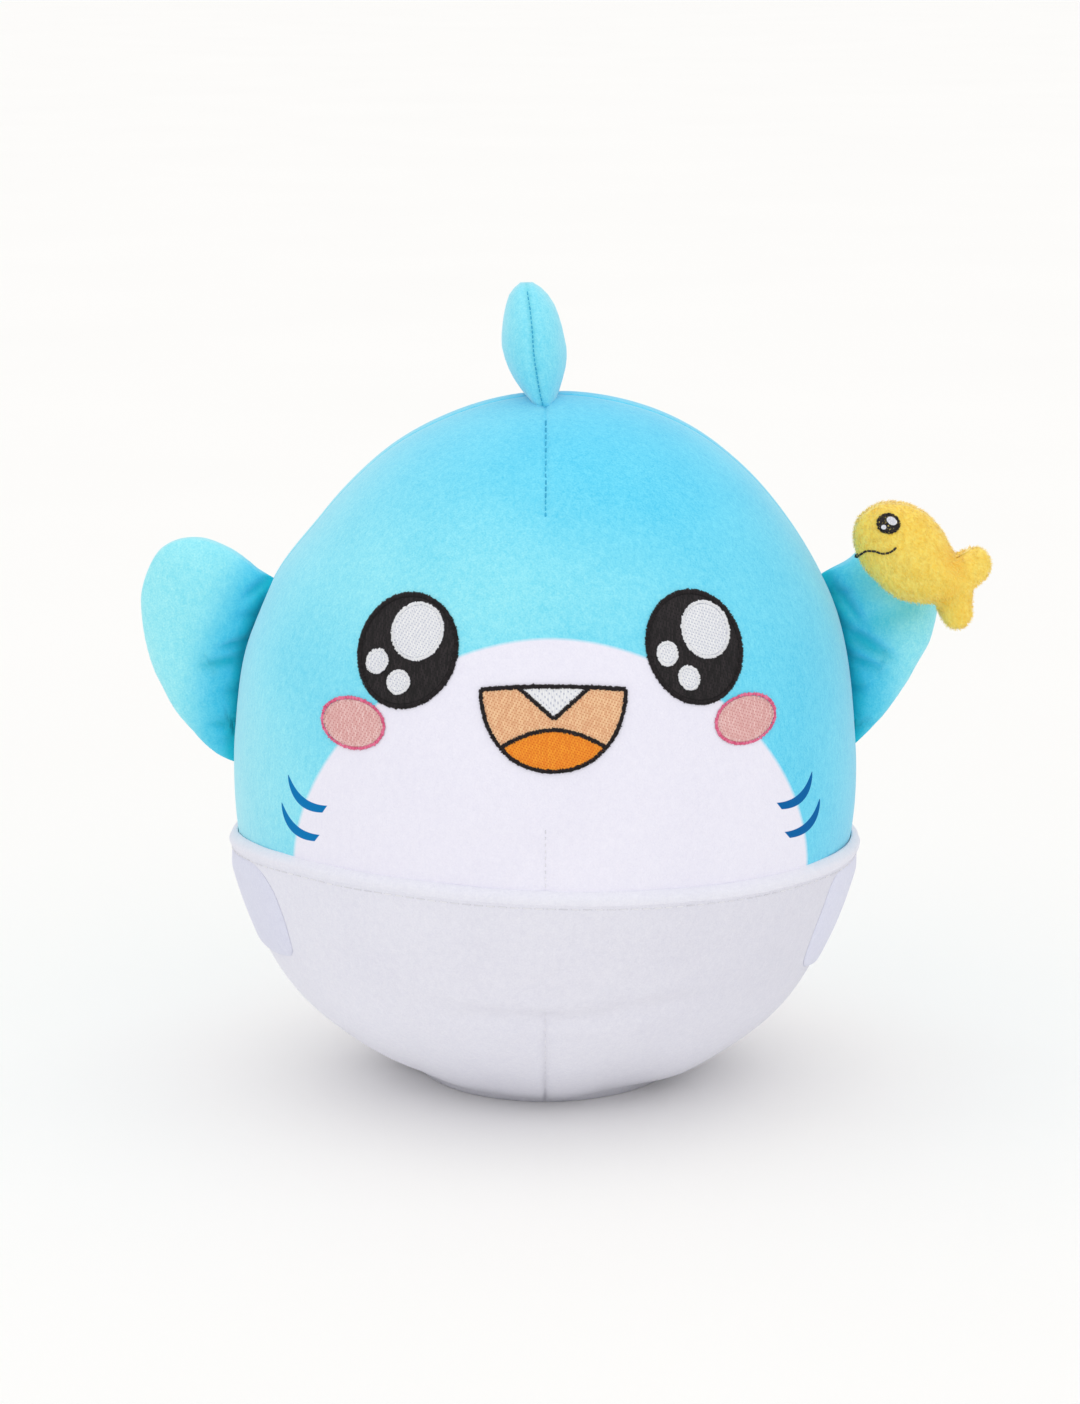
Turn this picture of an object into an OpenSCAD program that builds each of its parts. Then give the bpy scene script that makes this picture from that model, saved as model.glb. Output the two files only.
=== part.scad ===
// Round stuffed shark in a removable nappy, with a small stuffed fish tacked to one fin.
// The origin is the middle of the flat it sits on. +Z is up and the face looks along -Y.
// Left and right are as seen by someone looking at the face: the left fin is at -X.

/* [Body] */
// Radius of the body at its widest
body_r = 116; // [95:1:145]
// Height of the widest ring above the floor
waist_z = 117; // [105:1:142]
// Rise from the widest ring to the crown
crown_h = 141; // [118:1:170]
// How far the weight of the toy presses its round bottom flat
seat_sink = 6; // [3:0.5:12]
// Thickness of the short-pile cover fabric
cover_t = 1.2; // [0.8:0.1:2]

/* [Nappy] */
// Height of the nappy's edge above the floor
rim_z = 95; // [80:1:102]
// Thickness of the nappy's cloth
nappy_t = 1.8; // [1:0.1:3]
// Radius of the rolled hem round the nappy's edge
hem_r = 2; // [1.2:0.1:3]
// Depth of the hem's stitching below the edge
hem_stitch_drop = 4.5; // [3:0.5:10]
// Height of the centre dart's upper end above the floor
dart_z = 50; // [30:1:60]
// Height of a fastening tab
tab_h = 37; // [20:1:44]
// Height of a tab's lower edge above the floor
tab_z = 54; // [36:1:56]
// Angle of a tab's free end from straight ahead
tab_free_az = 64; // [45:1:75]
// Angle of a tab's sewn end from straight ahead
tab_sewn_az = 94; // [88:1:110]
// Corner radius of a tab's free end
tab_corner_r = 11; // [4:1:16]

/* [Fins] */
// Height of the side fin's lower root end
fin_low_z = 121; // [112:1:128]
// Height of the side fin's upper root end
fin_high_z = 183; // [170:1:195]
// Reach of the side fin from the body at its big lobe
fin_reach = 46; // [30:1:60]
// Height of the side fin's big lobe
fin_lobe_z = 178; // [165:1:190]
// Half height of the side fin's big lobe
fin_lobe_r = 24; // [16:1:30]
// Greatest half thickness of a side fin
fin_half_t = 12.5; // [7:0.5:15]
// Distance of the side fins behind the middle of the body
fin_y = 5; // [0:1:12]
// Length of the top fin's root along the crown
top_root_l = 56; // [36:1:64]
// Height of the top fin above the crown
top_fin_h = 41; // [30:1:60]
// Greatest half thickness of the top fin
top_half_t = 12; // [6:0.5:15]
// Lean of the top fin towards the left
top_lean = 10; // [0:1:18]
// Length of the tail behind the body
tail_l = 40; // [28:1:60]
// Height of the tail's root middle above the floor
tail_z = 148; // [140:1:165]
// Greatest half thickness of the tail
tail_half_t = 9; // [5:0.5:12]

/* [Fish] */
// Half length of the fish's body, without its tail
fish_half_l = 21; // [16:1:28]
// Half height of the fish's body
fish_half_h = 16.5; // [11:0.5:20]
// Half thickness of the fish
fish_half_t = 11; // [7:0.5:14]
// Nose-up tilt of the fish
fish_tilt = 20; // [0:1:35]
// Thickness of the fish's longer-pile cover
fish_cover_t = 1.6; // [1:0.1:2.4]

/* [Face] */
// Half distance between the eyes
eye_x = 49.2; // [40:0.5:60]
// Height of the eyes above the widest ring
eye_rise = 62.5; // [45:0.5:75]
// Half width of an eye
eye_rx = 18; // [10:0.5:22]
// Half height of an eye
eye_rz = 19.7; // [12:0.1:24]
// Half distance between the cheeks
cheek_x = 69; // [60:0.5:80]
// Height of the cheeks above the widest ring
cheek_rise = 36.8; // [25:0.2:45]
// Half width of a cheek with its ring
cheek_rx = 11.8; // [7:0.2:14]
// Half height of a cheek with its ring
cheek_rz = 8.7; // [5:0.1:11]
// Sideways place of the mouth's middle
mouth_x = 2; // [-4:0.5:4]
// Height of the mouth's top line above the widest ring
mouth_rise = 52; // [40:0.5:60]
// Half width of the mouth
mouth_rx = 25.6; // [16:0.2:32]
// Depth of the mouth below its top line
mouth_d = 28.6; // [18:0.2:36]
// Width of an embroidered outline
line_w = 1.6; // [1:0.1:2.4]
// Thickness of an embroidered fill
fill_t = 0.5; // [0.3:0.05:1]

/* [Hidden] */
$fn = 48;

BLUE = [0.52, 0.87, 0.97];
THREAD_BLUE = [0.10, 0.62, 0.80];
WHITE = [0.93, 0.92, 0.97];
BLACK = [0.08, 0.08, 0.09];
PINK = [0.87, 0.62, 0.60];
ROSE = [0.91, 0.36, 0.50];
PEACH = [0.93, 0.68, 0.52];
ORANGE = [0.96, 0.56, 0.14];
YELLOW = [0.98, 0.80, 0.28];
FIBRE = [0.97, 0.97, 0.95];

LOWER_POWER = 2.2;      // below the waist the outline is this superellipse, a little fuller than an ellipse
PROFILE_STEPS = 26;
layer_gap = 0.2;        // between two layers that are sewn together
seam_az = 0.1;          // half the angle left between two covers at a seam
nappy_fit = 0.4;        // between the body's cover and the nappy
stitch_w = 0.8;
patch_lift = 0.12;      // between the cover and an embroidered patch on it
root_gap = 2.0;         // between a fin's root and the body, so that the fin can turn
root_bead = 2.5;        // half thickness of a fin at its root
pad_t = 0.6;            // a hook or loop pad
tab_t = 1.2;
tack_r = 1.5;
swell_fn = 20;          // facets round a swollen shape
far = 400;              // longer than anything here

drop_h = waist_z + seat_sink;
seat_z = nappy_t + nappy_fit;           // the body's cover sits this high, on the nappy
nappy_out = nappy_fit + nappy_t;
fish_gap = 1;

// ---- the body's surface, and layers offset from it ----

// Height of the flat underneath a layer that lies `out` outside the cover's surface
function flat_z(out) = seat_z - out;

// A point [radius, height] of a layer; t runs from the crown at 90 through the waist at 0
function layer_point(t, out) = t >= 0
    ? [(body_r + out) * cos(t), waist_z + (crown_h + out) * sin(t)]
    : [(body_r + out) * pow(cos(t), 2 / LOWER_POWER), waist_z - (drop_h + out) * pow(sin(-t), 2 / LOWER_POWER)];

// The profile angle at a height
function layer_t(z, out) = z >= waist_z
    ? asin(min(1, (z - waist_z) / (crown_h + out)))
    : -asin(pow(min(1, (waist_z - z) / (drop_h + out)), LOWER_POWER / 2));

// The radius at a height
function layer_r(z, out = 0) = layer_point(layer_t(z, out), out)[0];

// The height of the surface over a distance from the axis, above the waist
function crown_z(r, out = 0) = waist_z + (crown_h + out) * sqrt(1 - pow(r / (body_r + out), 2));

function layer_points(out, t_low, t_high) =
    [for (k = [0 : PROFILE_STEPS]) layer_point(t_low + (t_high - t_low) * k / PROFILE_STEPS, out)];

function backwards(list) = [for (k = [len(list) - 1 : -1 : 0]) list[k]];

// The angle of a turned part is measured from straight ahead (-Y), positive towards +X
module turned(az_from, az_to) rotate([0, 0, az_from - 90]) rotate_extrude(angle = az_to - az_from) children();

// Everything inside a layer
module layer_solid(out) {
    rotate_extrude() polygon(concat([[0, flat_z(out)]], layer_points(out, layer_t(flat_z(out), out), 90)));
}

// The cloth between two layers, from one height to another and between two angles
module layer_shell(inner, outer, az_from, az_to, t_low, t_high) {
    turned(az_from, az_to)
        polygon(concat(layer_points(outer, t_low, t_high), backwards(layer_points(inner, t_low, t_high))));
}

// A cover that also closes the flat underneath
module closed_shell(inner, outer, az_from, az_to, t_high) {
    turned(az_from, az_to) polygon(concat(
        [[0, flat_z(outer)]],
        layer_points(outer, layer_t(flat_z(outer), outer), t_high),
        backwards(layer_points(inner, layer_t(flat_z(inner), inner), t_high)),
        [[0, flat_z(inner)]]));
}

// A sewn line up the body, in the plane at an angle
module seam_line(az, base, z_low, z_high) {
    inner = base + patch_lift;
    outer = inner + stitch_w / 2;
    rotate([0, 0, az - 90]) rotate([90, 0, 0]) linear_extrude(stitch_w, center = true)
        polygon(concat(
            layer_points(outer, layer_t(z_low, outer), layer_t(z_high, outer)),
            backwards(layer_points(inner, layer_t(z_low, inner), layer_t(z_high, inner)))));
}

// ---- the body ----

module front_cover() color(BLUE) closed_shell(-cover_t, 0, seam_az - 90, 90 - seam_az, 90);
module back_cover_left() color(BLUE) closed_shell(-cover_t, 0, 180 + seam_az, 270 - seam_az, 90);
module back_cover_right() color(BLUE) closed_shell(-cover_t, 0, 90 + seam_az, 180 - seam_az, 90);
module body_filling() color(FIBRE) layer_solid(-cover_t - layer_gap);

top_root_y = -16;       // front end of the top fin's root
crown_dart_low_z = waist_z + 0.76 * crown_h;
module crown_dart_stitching() color(THREAD_BLUE)
    seam_line(0, 0, crown_dart_low_z, crown_z(-top_root_y + 6));
module chin_dart_stitching() color(WHITE) seam_line(0, 0, rim_z + 2 * hem_r + 1, waist_z + 5);
module back_seam_stitching() color(THREAD_BLUE)
    for (span = [[rim_z + 2 * hem_r + 1, tail_z - 22], [tail_z + 22, crown_z(top_root_l)]])
        seam_line(180, 0, span[0], span[1]);

// ---- the embroidered face ----

function oval(rx, rz, tilt = 0, from = 0, to = 360, step = 15) =
    [for (a = [from : step : to - (to - from == 360 ? step : 0)])
        [rx * cos(a) * cos(tilt) - rz * sin(a) * sin(tilt), rx * cos(a) * sin(tilt) + rz * sin(a) * cos(tilt)]];

// Places a flat outline on the front of the face as a layer of stitches
module patch(x, rise, level = 0, reach_az = 60) {
    inner = patch_lift + level * (fill_t + patch_lift);
    intersection() {
        layer_shell(inner, inner + fill_t, -reach_az, reach_az, layer_t(waist_z + 5, inner), 70);
        translate([x, 0, waist_z + rise]) rotate([90, 0, 0]) linear_extrude(2 * body_r) children();
    }
}

eye_tilt = 5;
big_glint = [4.6, 6];
module eye(side) color(BLACK) patch(side * eye_x, eye_rise) polygon(oval(eye_rx, eye_rz, side * eye_tilt));

// Three white glints: a big one at the upper right, and two small ones at the lower left
module glints(side, middle, low) color(WHITE) {
    patch(side * eye_x + big_glint[0], eye_rise + big_glint[1], 1) polygon(oval(eye_rx * 0.53, eye_rz * 0.5));
    patch(side * eye_x + middle[0], eye_rise + middle[1], 1) polygon(oval(eye_rx * 0.22, eye_rz * 0.23));
    patch(side * eye_x + low[0], eye_rise + low[1], 1) polygon(oval(eye_rx * 0.23, eye_rz * 0.22));
}
module eye_left() eye(-1);
module eye_right() eye(1);
module eye_left_glints() glints(-1, [-10, -5], [-2.5, -11.7]);
module eye_right_glints() glints(1, [-8.3, -1.2], [-0.8, -10.2]);

cheek_tilt = 8;
module cheek(side) color(PINK)
    patch(side * cheek_x, cheek_rise) polygon(oval(cheek_rx - line_w, cheek_rz - line_w, side * cheek_tilt));
module cheek_ring(side) color(ROSE) patch(side * cheek_x, cheek_rise) difference() {
    polygon(oval(cheek_rx, cheek_rz, side * cheek_tilt));
    polygon(oval(cheek_rx - line_w + layer_gap, cheek_rz - line_w + layer_gap, side * cheek_tilt));
}
module cheek_left() cheek(-1);
module cheek_right() cheek(1);
module cheek_left_ring() cheek_ring(-1);
module cheek_right_ring() cheek_ring(1);

tooth_half_w = mouth_rx * 0.46;
tooth_d = mouth_d * 0.36;
tongue_top = mouth_d * 0.5;
tongue_half_w = mouth_rx * 0.69;
tongue_end = mouth_d * 0.72;

// The lining reaches under the whole outline
module mouth_lining() color(PEACH) patch(mouth_x, mouth_rise)
    polygon(concat([[-mouth_rx, line_w / 2]], oval(mouth_rx, mouth_d, 0, 180, 360), [[mouth_rx, line_w / 2]]));

// The tongue lies between an arc and the mouth's lower edge
function tongue_arc(drop) = [for (u = [-1 : 0.25 : 1])
    [u * tongue_half_w, -drop - tongue_top - (tongue_end - tongue_top) * u * u]];
module tongue() color(ORANGE) patch(mouth_x, mouth_rise, 1) intersection() {
    polygon(oval(mouth_rx - line_w - layer_gap, mouth_d - line_w - layer_gap));
    polygon(concat(tongue_arc(line_w + layer_gap), [[tongue_half_w, -mouth_d], [-tongue_half_w, -mouth_d]]));
}
module tooth() color(WHITE) patch(mouth_x, mouth_rise, 1)
    polygon([[-tooth_half_w + 2.8 * line_w, -line_w / 2 - layer_gap],
             [tooth_half_w - 2.8 * line_w, -line_w / 2 - layer_gap],
             [0, -tooth_d + 1.4 * line_w]]);
module mouth_outline() color(BLACK) patch(mouth_x, mouth_rise, 1) union() {
    polygon(concat(
        [[-mouth_rx, line_w / 2]],
        oval(mouth_rx, mouth_d, 0, 180, 360),
        [[mouth_rx, line_w / 2]],
        [[mouth_rx - line_w, -line_w / 2]],
        backwards(oval(mouth_rx - line_w, mouth_d - line_w, 0, 186, 354, 14)),
        [[-mouth_rx + line_w, -line_w / 2], [-mouth_rx + line_w, line_w / 2]]));
    translate([-mouth_rx + line_w / 2, -line_w / 2]) square([2 * mouth_rx - line_w, line_w]);
    polygon([[-tooth_half_w, 0], [-tooth_half_w + 2 * line_w, 0], [0, -tooth_d + line_w],
             [tooth_half_w - 2 * line_w, 0], [tooth_half_w, 0], [0, -tooth_d - line_w / 2]]);
    polygon(concat(tongue_arc(line_w), backwards(tongue_arc(0))));
}

// ---- swollen pieces: each is two covers round a filling ----

// A small sphere, swollen by different amounts along each axis; an inset makes it smaller all round
module swell(place, radii, inset) {
    translate(place) scale([for (r = radii) max(0.3, r - inset)]) sphere(1, $fn = swell_fn);
}

// The half of its child on one side of a plane through `place`, held off the plane by half a gap
module half_of(place, direction) {
    intersection() {
        children();
        translate(place + direction * (far / 2 + layer_gap / 2)) cube(far, center = true);
    }
}

// A wall of fabric that closes a swollen piece along the body's outline, seen edge-on
module root_side(out) {
    rotate([90, 0, 0]) linear_extrude(4 * fin_half_t, center = true)
        polygon(concat([[0, waist_z - 10]], outline(out, waist_z - 10, waist_z + 0.72 * crown_h),
                       [[0, waist_z + 0.72 * crown_h]]));
}
function outline(out, z_low, z_high) =
    [for (k = [0 : 14]) let (z = z_low + (z_high - z_low) * k / 14) [layer_r(z, out), z]];

// Distance of a root bead's middle from the axis
function root_x(z) = layer_r(z, root_gap + root_bead);

// A side fin, pointing along +X
lobe_rx = 20.5;
lobe_x = layer_r(fin_lobe_z) + fin_reach - lobe_rx;
fin_mid_z = (fin_low_z + fin_high_z) / 2;
module fin_shape(inset) difference() {
    hull() {
        for (z = [fin_low_z, fin_mid_z, fin_high_z])
            swell([root_x(z), 0, z], root_bead * [1, 1, 1], inset);
        swell([lobe_x, 0, fin_lobe_z], [lobe_rx, fin_half_t, fin_lobe_r], inset);
        swell([root_x(fin_mid_z) + fin_reach * 0.4, 0, fin_mid_z - 4], [13, fin_half_t - 1, 18], inset);
    }
    root_side(root_gap + inset);
}
module fin_cover(side, direction) color(BLUE) translate([0, fin_y, 0]) scale([side, 1, 1])
    half_of([0, 0, fin_mid_z], direction) difference() {
        fin_shape(0);
        fin_shape(cover_t);
    }
module fin_filling(side) color(FIBRE) translate([0, fin_y, 0]) scale([side, 1, 1])
    fin_shape(cover_t + layer_gap);

module fin_left_front_cover() fin_cover(-1, [0, -1, 0]);
module fin_left_back_cover() fin_cover(-1, [0, 1, 0]);
module fin_left_filling() fin_filling(-1);
module fin_right_front_cover() fin_cover(1, [0, -1, 0]);
module fin_right_back_cover() fin_cover(1, [0, 1, 0]);
module fin_right_filling() fin_filling(1);

// The tail, pointing along +X before it is turned to the back: two lobes with a notch between
tail_root_h = 17;
module tail_lobe(up, inset) hull() {
    for (dz = [-tail_root_h, tail_root_h])
        swell([root_x(tail_z + dz * 0.9), 0, tail_z + dz * 0.9], root_bead * [1, 1, 1], inset);
    swell([root_x(tail_z) + 13, 0, tail_z], [8, tail_half_t, 10], inset);
    swell([root_x(tail_z) + tail_l - (up > 0 ? 8 : 14), 0, tail_z + up * (up > 0 ? 20 : 14)],
          [8, tail_half_t * 0.6, 9], inset);
}
module tail_shape(inset) difference() {
    union() {
        tail_lobe(1, inset);
        tail_lobe(-1, inset);
    }
    root_side(root_gap + inset);
}
module tail_cover(direction) color(BLUE) rotate([0, 0, 90])
    half_of([0, 0, tail_z], direction) difference() {
        tail_shape(0);
        tail_shape(cover_t);
    }
module tail_left_cover() tail_cover([0, 1, 0]);
module tail_right_cover() tail_cover([0, -1, 0]);
module tail_filling() color(FIBRE) rotate([0, 0, 90]) tail_shape(cover_t + layer_gap);

// The top fin stands on the crown and leans to the left about its root
top_root_mid = top_root_y + top_root_l / 2;
function crown_root(y) = [0, y, crown_z(abs(y), root_gap + root_bead)];
module root_crown(out) {
    rotate([90, 0, 90]) linear_extrude(4 * top_half_t, center = true)
        polygon(concat([[-70, waist_z]], [for (k = [-7 : 7]) [k * 10, crown_z(abs(k * 10), out)]],
                       [[70, waist_z]]));
}
module top_fin_leaf(inset) hull() {
    for (k = [0, 0.5, 1]) swell(crown_root(top_root_y + top_root_l * k), root_bead * [1, 1, 1], inset);
    swell([0, top_root_mid + 2, crown_root(0)[2] + top_fin_h * 0.46], [top_half_t, 19, 11], inset);
    swell([0, top_root_mid + 9, crown_root(0)[2] + top_fin_h - root_bead - root_gap - 10.5],
          [top_half_t * 0.6, 10, 10], inset);
}
module top_fin_shape(inset) difference() {
    leaning() top_fin_leaf(inset);
    root_crown(root_gap + inset);
}
module leaning() translate(crown_root(0)) rotate([0, -top_lean, 0]) translate(-crown_root(0)) children();
module top_fin_cover(direction) color(BLUE) difference() {
    leaning() half_of(crown_root(0), direction) difference() {
        top_fin_leaf(0);
        top_fin_leaf(cover_t);
    }
    root_crown(root_gap);
}
module top_fin_left_cover() top_fin_cover([-1, 0, 0]);
module top_fin_right_cover() top_fin_cover([1, 0, 0]);
module top_fin_filling() color(FIBRE) top_fin_shape(cover_t + layer_gap);

// ---- the fish, its nose towards -X before it is tilted ----

fish_x = lobe_x + 1.5;
fish_z = fin_lobe_z + 26;
fish_y = fin_y - fin_half_t - fish_gap - fish_half_t;
tack_place = [fish_x, fish_z - fish_half_h * 0.72];
module fish_placed() translate([fish_x, fish_y, fish_z]) rotate([0, fish_tilt, 0]) children();
module fish_belly(inset) hull()
    swell([0, 0, 0], [fish_half_l, fish_half_t, fish_half_h], inset);
module fish_form(inset) union() {
    hull() {
        swell([0, 0, 0], [fish_half_l, fish_half_t, fish_half_h], inset);
        swell([fish_half_l, 0, -2], [4, 4, 5], inset);
    }
    for (end = [[fish_half_l + 7, 4.5], [fish_half_l + 7.5, -11.5]]) hull() {
        swell([fish_half_l - 1, 0, -2.5], [4, 4, 5], inset);
        swell([end[0], 0, end[1]], [7.5, fish_half_t * 0.5, 7], inset);
    }
}
module fish_cover(direction) color(YELLOW) fish_placed() half_of([0, 0, 0], direction) difference() {
    fish_form(0);
    fish_form(fish_cover_t);
}
module fish_front_cover() fish_cover([0, -1, 0]);
module fish_back_cover() fish_cover([0, 1, 0]);
module fish_filling() color(FIBRE) fish_placed() fish_form(fish_cover_t + layer_gap);

// Stitches lying on the fish's near side; the child is an outline seen from the front
module fish_patch(level = 0) fish_placed() intersection() {
    difference() {
        fish_belly(-patch_lift * (level + 1) - fill_t * (level + 1));
        fish_belly(-patch_lift * (level + 1) - fill_t * level);
    }
    rotate([90, 0, 0]) linear_extrude(far) children();
}
fish_eye_at = [-fish_half_l * 0.33, fish_half_h * 0.54];
module fish_eye() color(BLACK) fish_patch() translate(fish_eye_at) polygon(oval(4.2, 4.2));
module fish_eye_glints() color(WHITE) fish_patch(1) {
    translate(fish_eye_at + [1.1, 0.6]) polygon(oval(1.7, 1.4, 0, 0, 360, 30));
    translate(fish_eye_at + [-1.9, -0.9]) polygon(oval(0.7, 0.7, 0, 0, 360, 45));
}
module fish_smile() color(BLACK) fish_patch()
    polygon(concat(
        [for (u = [-1 : 0.25 : 1]) [-fish_half_l * 0.5 + 5.5 * u, -1.4 + 1.6 * u * u]],
        [for (u = [1 : -0.25 : -1]) [-fish_half_l * 0.5 + 5.5 * u, -2.4 + 1.6 * u * u]]));

// A thick thread from the fish's far side to the fin's near side
module fish_tack_thread() color(YELLOW) {
    near_y = fish_y + fish_half_t * 0.8;
    translate([tack_place[0], near_y, tack_place[1]]) rotate([-90, 0, 0])
        cylinder(h = fin_y - fin_half_t * 0.88 - near_y, r = tack_r);
}

// ---- the nappy ----

pad_gap = 0.3;
loop_in = nappy_out + patch_lift;
hook_in = loop_in + pad_t + pad_gap;
tab_in = hook_in + pad_t + patch_lift;
module nappy_front() color(WHITE) closed_shell(nappy_fit, nappy_out, seam_az - 90, 90 - seam_az, layer_t(rim_z, nappy_fit));
module nappy_back() color(WHITE) closed_shell(nappy_fit, nappy_out, 90 + seam_az, 270 - seam_az, layer_t(rim_z, nappy_fit));

hem_z = rim_z + layer_gap + hem_r;
hem_mid_r = layer_r(hem_z, nappy_fit) + hem_r;
module nappy_hem() color(WHITE) rotate_extrude() translate([hem_mid_r, hem_z]) circle(hem_r);
module nappy_hem_stitching() color(WHITE) rotate_extrude()
    translate([layer_r(rim_z - hem_stitch_drop, nappy_out) + patch_lift + stitch_w / 2, rim_z - hem_stitch_drop])
        circle(stitch_w / 2, $fn = 12);
module nappy_dart_stitching() color(WHITE) seam_line(0, nappy_out, seat_z + 6, dart_z);

// A flap wrapped round the nappy: its child is an outline, upright, with +X towards the sewn end
module wrapped(inner, outer) {
    intersection() {
        layer_shell(inner, outer, tab_free_az - 12, tab_sewn_az,
                    layer_t(tab_z - 4, inner), layer_t(tab_z + tab_h + 4, inner));
        rotate([0, 0, tab_mid_az]) rotate([90, 0, 0]) linear_extrude(2 * body_r) children();
    }
}
tab_mid_az = (tab_free_az + tab_sewn_az) / 2;
tab_half_w = layer_r(tab_z + tab_h / 2, tab_in) * sin((tab_sewn_az - tab_free_az) / 2);
module tab_outline() {
    r = min(tab_corner_r, tab_h / 2 - 1);
    polygon(concat(
        [[2 * tab_half_w, tab_z], [2 * tab_half_w, tab_z + tab_h]],
        [for (a = [90 : 15 : 180]) [-tab_half_w + r + r * cos(a), tab_z + tab_h - r + r * sin(a)]],
        [for (a = [180 : 15 : 270]) [-tab_half_w + r + r * cos(a), tab_z + r + r * sin(a)]]));
}
module pad_outline(margin) translate([-tab_half_w + 7 - margin, tab_z + 7 - margin])
    square([14 + 2 * margin, tab_h - 14 + 2 * margin]);
module tab() color(WHITE) wrapped(tab_in, tab_in + tab_t) tab_outline();
module hooks() color(WHITE) wrapped(hook_in, hook_in + pad_t) pad_outline(0);
module loops() color(WHITE) wrapped(loop_in, loop_in + pad_t) pad_outline(1.5);
module tab_right() tab();
module tab_right_hooks() hooks();
module tab_right_loops() loops();
module tab_left() mirror([1, 0, 0]) tab();
module tab_left_hooks() mirror([1, 0, 0]) hooks();
module tab_left_loops() mirror([1, 0, 0]) loops();

front_cover();
back_cover_left();
back_cover_right();
body_filling();
crown_dart_stitching();
chin_dart_stitching();
back_seam_stitching();
eye_left();
eye_right();
eye_left_glints();
eye_right_glints();
cheek_left();
cheek_right();
cheek_left_ring();
cheek_right_ring();
mouth_lining();
mouth_outline();
tooth();
tongue();
fin_left_front_cover();
fin_left_back_cover();
fin_left_filling();
fin_right_front_cover();
fin_right_back_cover();
fin_right_filling();
top_fin_left_cover();
top_fin_right_cover();
top_fin_filling();
tail_left_cover();
tail_right_cover();
tail_filling();
fish_front_cover();
fish_back_cover();
fish_filling();
fish_eye();
fish_eye_glints();
fish_smile();
fish_tack_thread();
nappy_front();
nappy_back();
nappy_hem();
nappy_hem_stitching();
nappy_dart_stitching();
tab_left();
tab_right();
tab_left_hooks();
tab_right_hooks();
tab_left_loops();
tab_right_loops();
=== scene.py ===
# %% [markdown]
# # A stuffed shark in a white nappy
# The toy is a cloth ball filled with loose fibre. Its face is embroidered, its belly is printed, and its
# fins, tail and little fish are flat panels sewn in pairs and stuffed. This lesson dresses the measured CAD
# model: every piece below is modelled at its real place, and most pieces ride on a CAD body and stand for CAD
# nodes.

# %% Load the measured frame
import math
import random

import bpy
import numpy as np
from mathutils import Matrix, Vector, noise


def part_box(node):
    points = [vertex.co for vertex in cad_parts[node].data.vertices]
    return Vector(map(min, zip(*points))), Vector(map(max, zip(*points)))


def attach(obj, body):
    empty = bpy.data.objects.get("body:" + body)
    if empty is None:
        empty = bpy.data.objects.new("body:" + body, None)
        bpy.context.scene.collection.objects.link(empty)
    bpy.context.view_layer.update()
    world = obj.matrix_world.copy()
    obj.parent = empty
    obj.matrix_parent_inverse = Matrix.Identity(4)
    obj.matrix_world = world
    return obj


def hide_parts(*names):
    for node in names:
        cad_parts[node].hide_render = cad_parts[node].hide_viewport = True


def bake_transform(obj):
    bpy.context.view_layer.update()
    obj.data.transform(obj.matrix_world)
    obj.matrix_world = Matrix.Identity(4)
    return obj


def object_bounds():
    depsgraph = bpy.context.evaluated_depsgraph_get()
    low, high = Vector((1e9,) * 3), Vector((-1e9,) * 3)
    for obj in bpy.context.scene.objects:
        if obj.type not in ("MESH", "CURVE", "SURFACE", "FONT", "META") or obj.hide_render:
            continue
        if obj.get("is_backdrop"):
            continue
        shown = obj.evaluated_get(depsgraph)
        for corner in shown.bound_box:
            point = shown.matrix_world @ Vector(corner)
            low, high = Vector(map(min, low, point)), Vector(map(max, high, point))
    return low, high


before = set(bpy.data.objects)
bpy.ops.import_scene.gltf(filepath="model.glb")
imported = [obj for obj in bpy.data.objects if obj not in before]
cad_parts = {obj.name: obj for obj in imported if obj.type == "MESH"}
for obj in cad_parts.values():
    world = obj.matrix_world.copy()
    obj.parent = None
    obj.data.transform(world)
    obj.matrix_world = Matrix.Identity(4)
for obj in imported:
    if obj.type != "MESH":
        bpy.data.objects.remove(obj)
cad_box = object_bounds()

MM = 0.001

# %% [markdown]
# ## The camera and the light
# The toy is seen from a little above, with a long lens, on a white floor that fills the view. A long lens
# keeps the ball round. Two sun lamps have wide angles, so they shade as softly as large softboxes do: one
# from in front, and one from above and behind, which lays the shadow in front of the toy. A bright plain
# world fills the shadows. The colours are shown as they are, so white stays white.

# %% Camera
VIEW_TILT = math.radians(12)
VIEW_DISTANCE = 1.4551
VIEW_TARGET = Vector((-0.00187, 0, 0.1411))
camera_data = bpy.data.cameras.new("camera")
camera_data.lens = 100
camera_data.sensor_width = 36
camera = bpy.data.objects.new("camera", camera_data)
bpy.context.scene.collection.objects.link(camera)
camera.location = VIEW_TARGET + VIEW_DISTANCE * Vector((0, -math.cos(VIEW_TILT), math.sin(VIEW_TILT)))
camera.rotation_euler = (math.pi / 2 - VIEW_TILT, 0, 0)
bpy.context.scene.camera = camera
bpy.context.scene.view_settings.view_transform = "Standard"
print("camera at", [round(c, 4) for c in camera.location])

# %% World and lamps
world = bpy.data.worlds.new("studio")
world.use_nodes = True
world.node_tree.nodes["Background"].inputs["Color"].default_value = (1, 1, 1, 1)
world.node_tree.nodes["Background"].inputs["Strength"].default_value = 0.67
bpy.context.scene.world = world


def sun(name, strength, spread, azimuth, height):
    """A lamp so far away that it lights the whole floor alike. Its spread softens the shadow's edge."""
    lamp = bpy.data.lights.new(name, "SUN")
    lamp.energy = strength
    lamp.angle = math.radians(spread)
    holder = bpy.data.objects.new(name, lamp)
    holder.rotation_euler = (math.radians(90 - height), 0, math.radians(azimuth))
    bpy.context.scene.collection.objects.link(holder)


sun("key_light", 0.78, 125, 4, 50)
sun("top_light", 0.55, 70, 180, 70)

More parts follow.
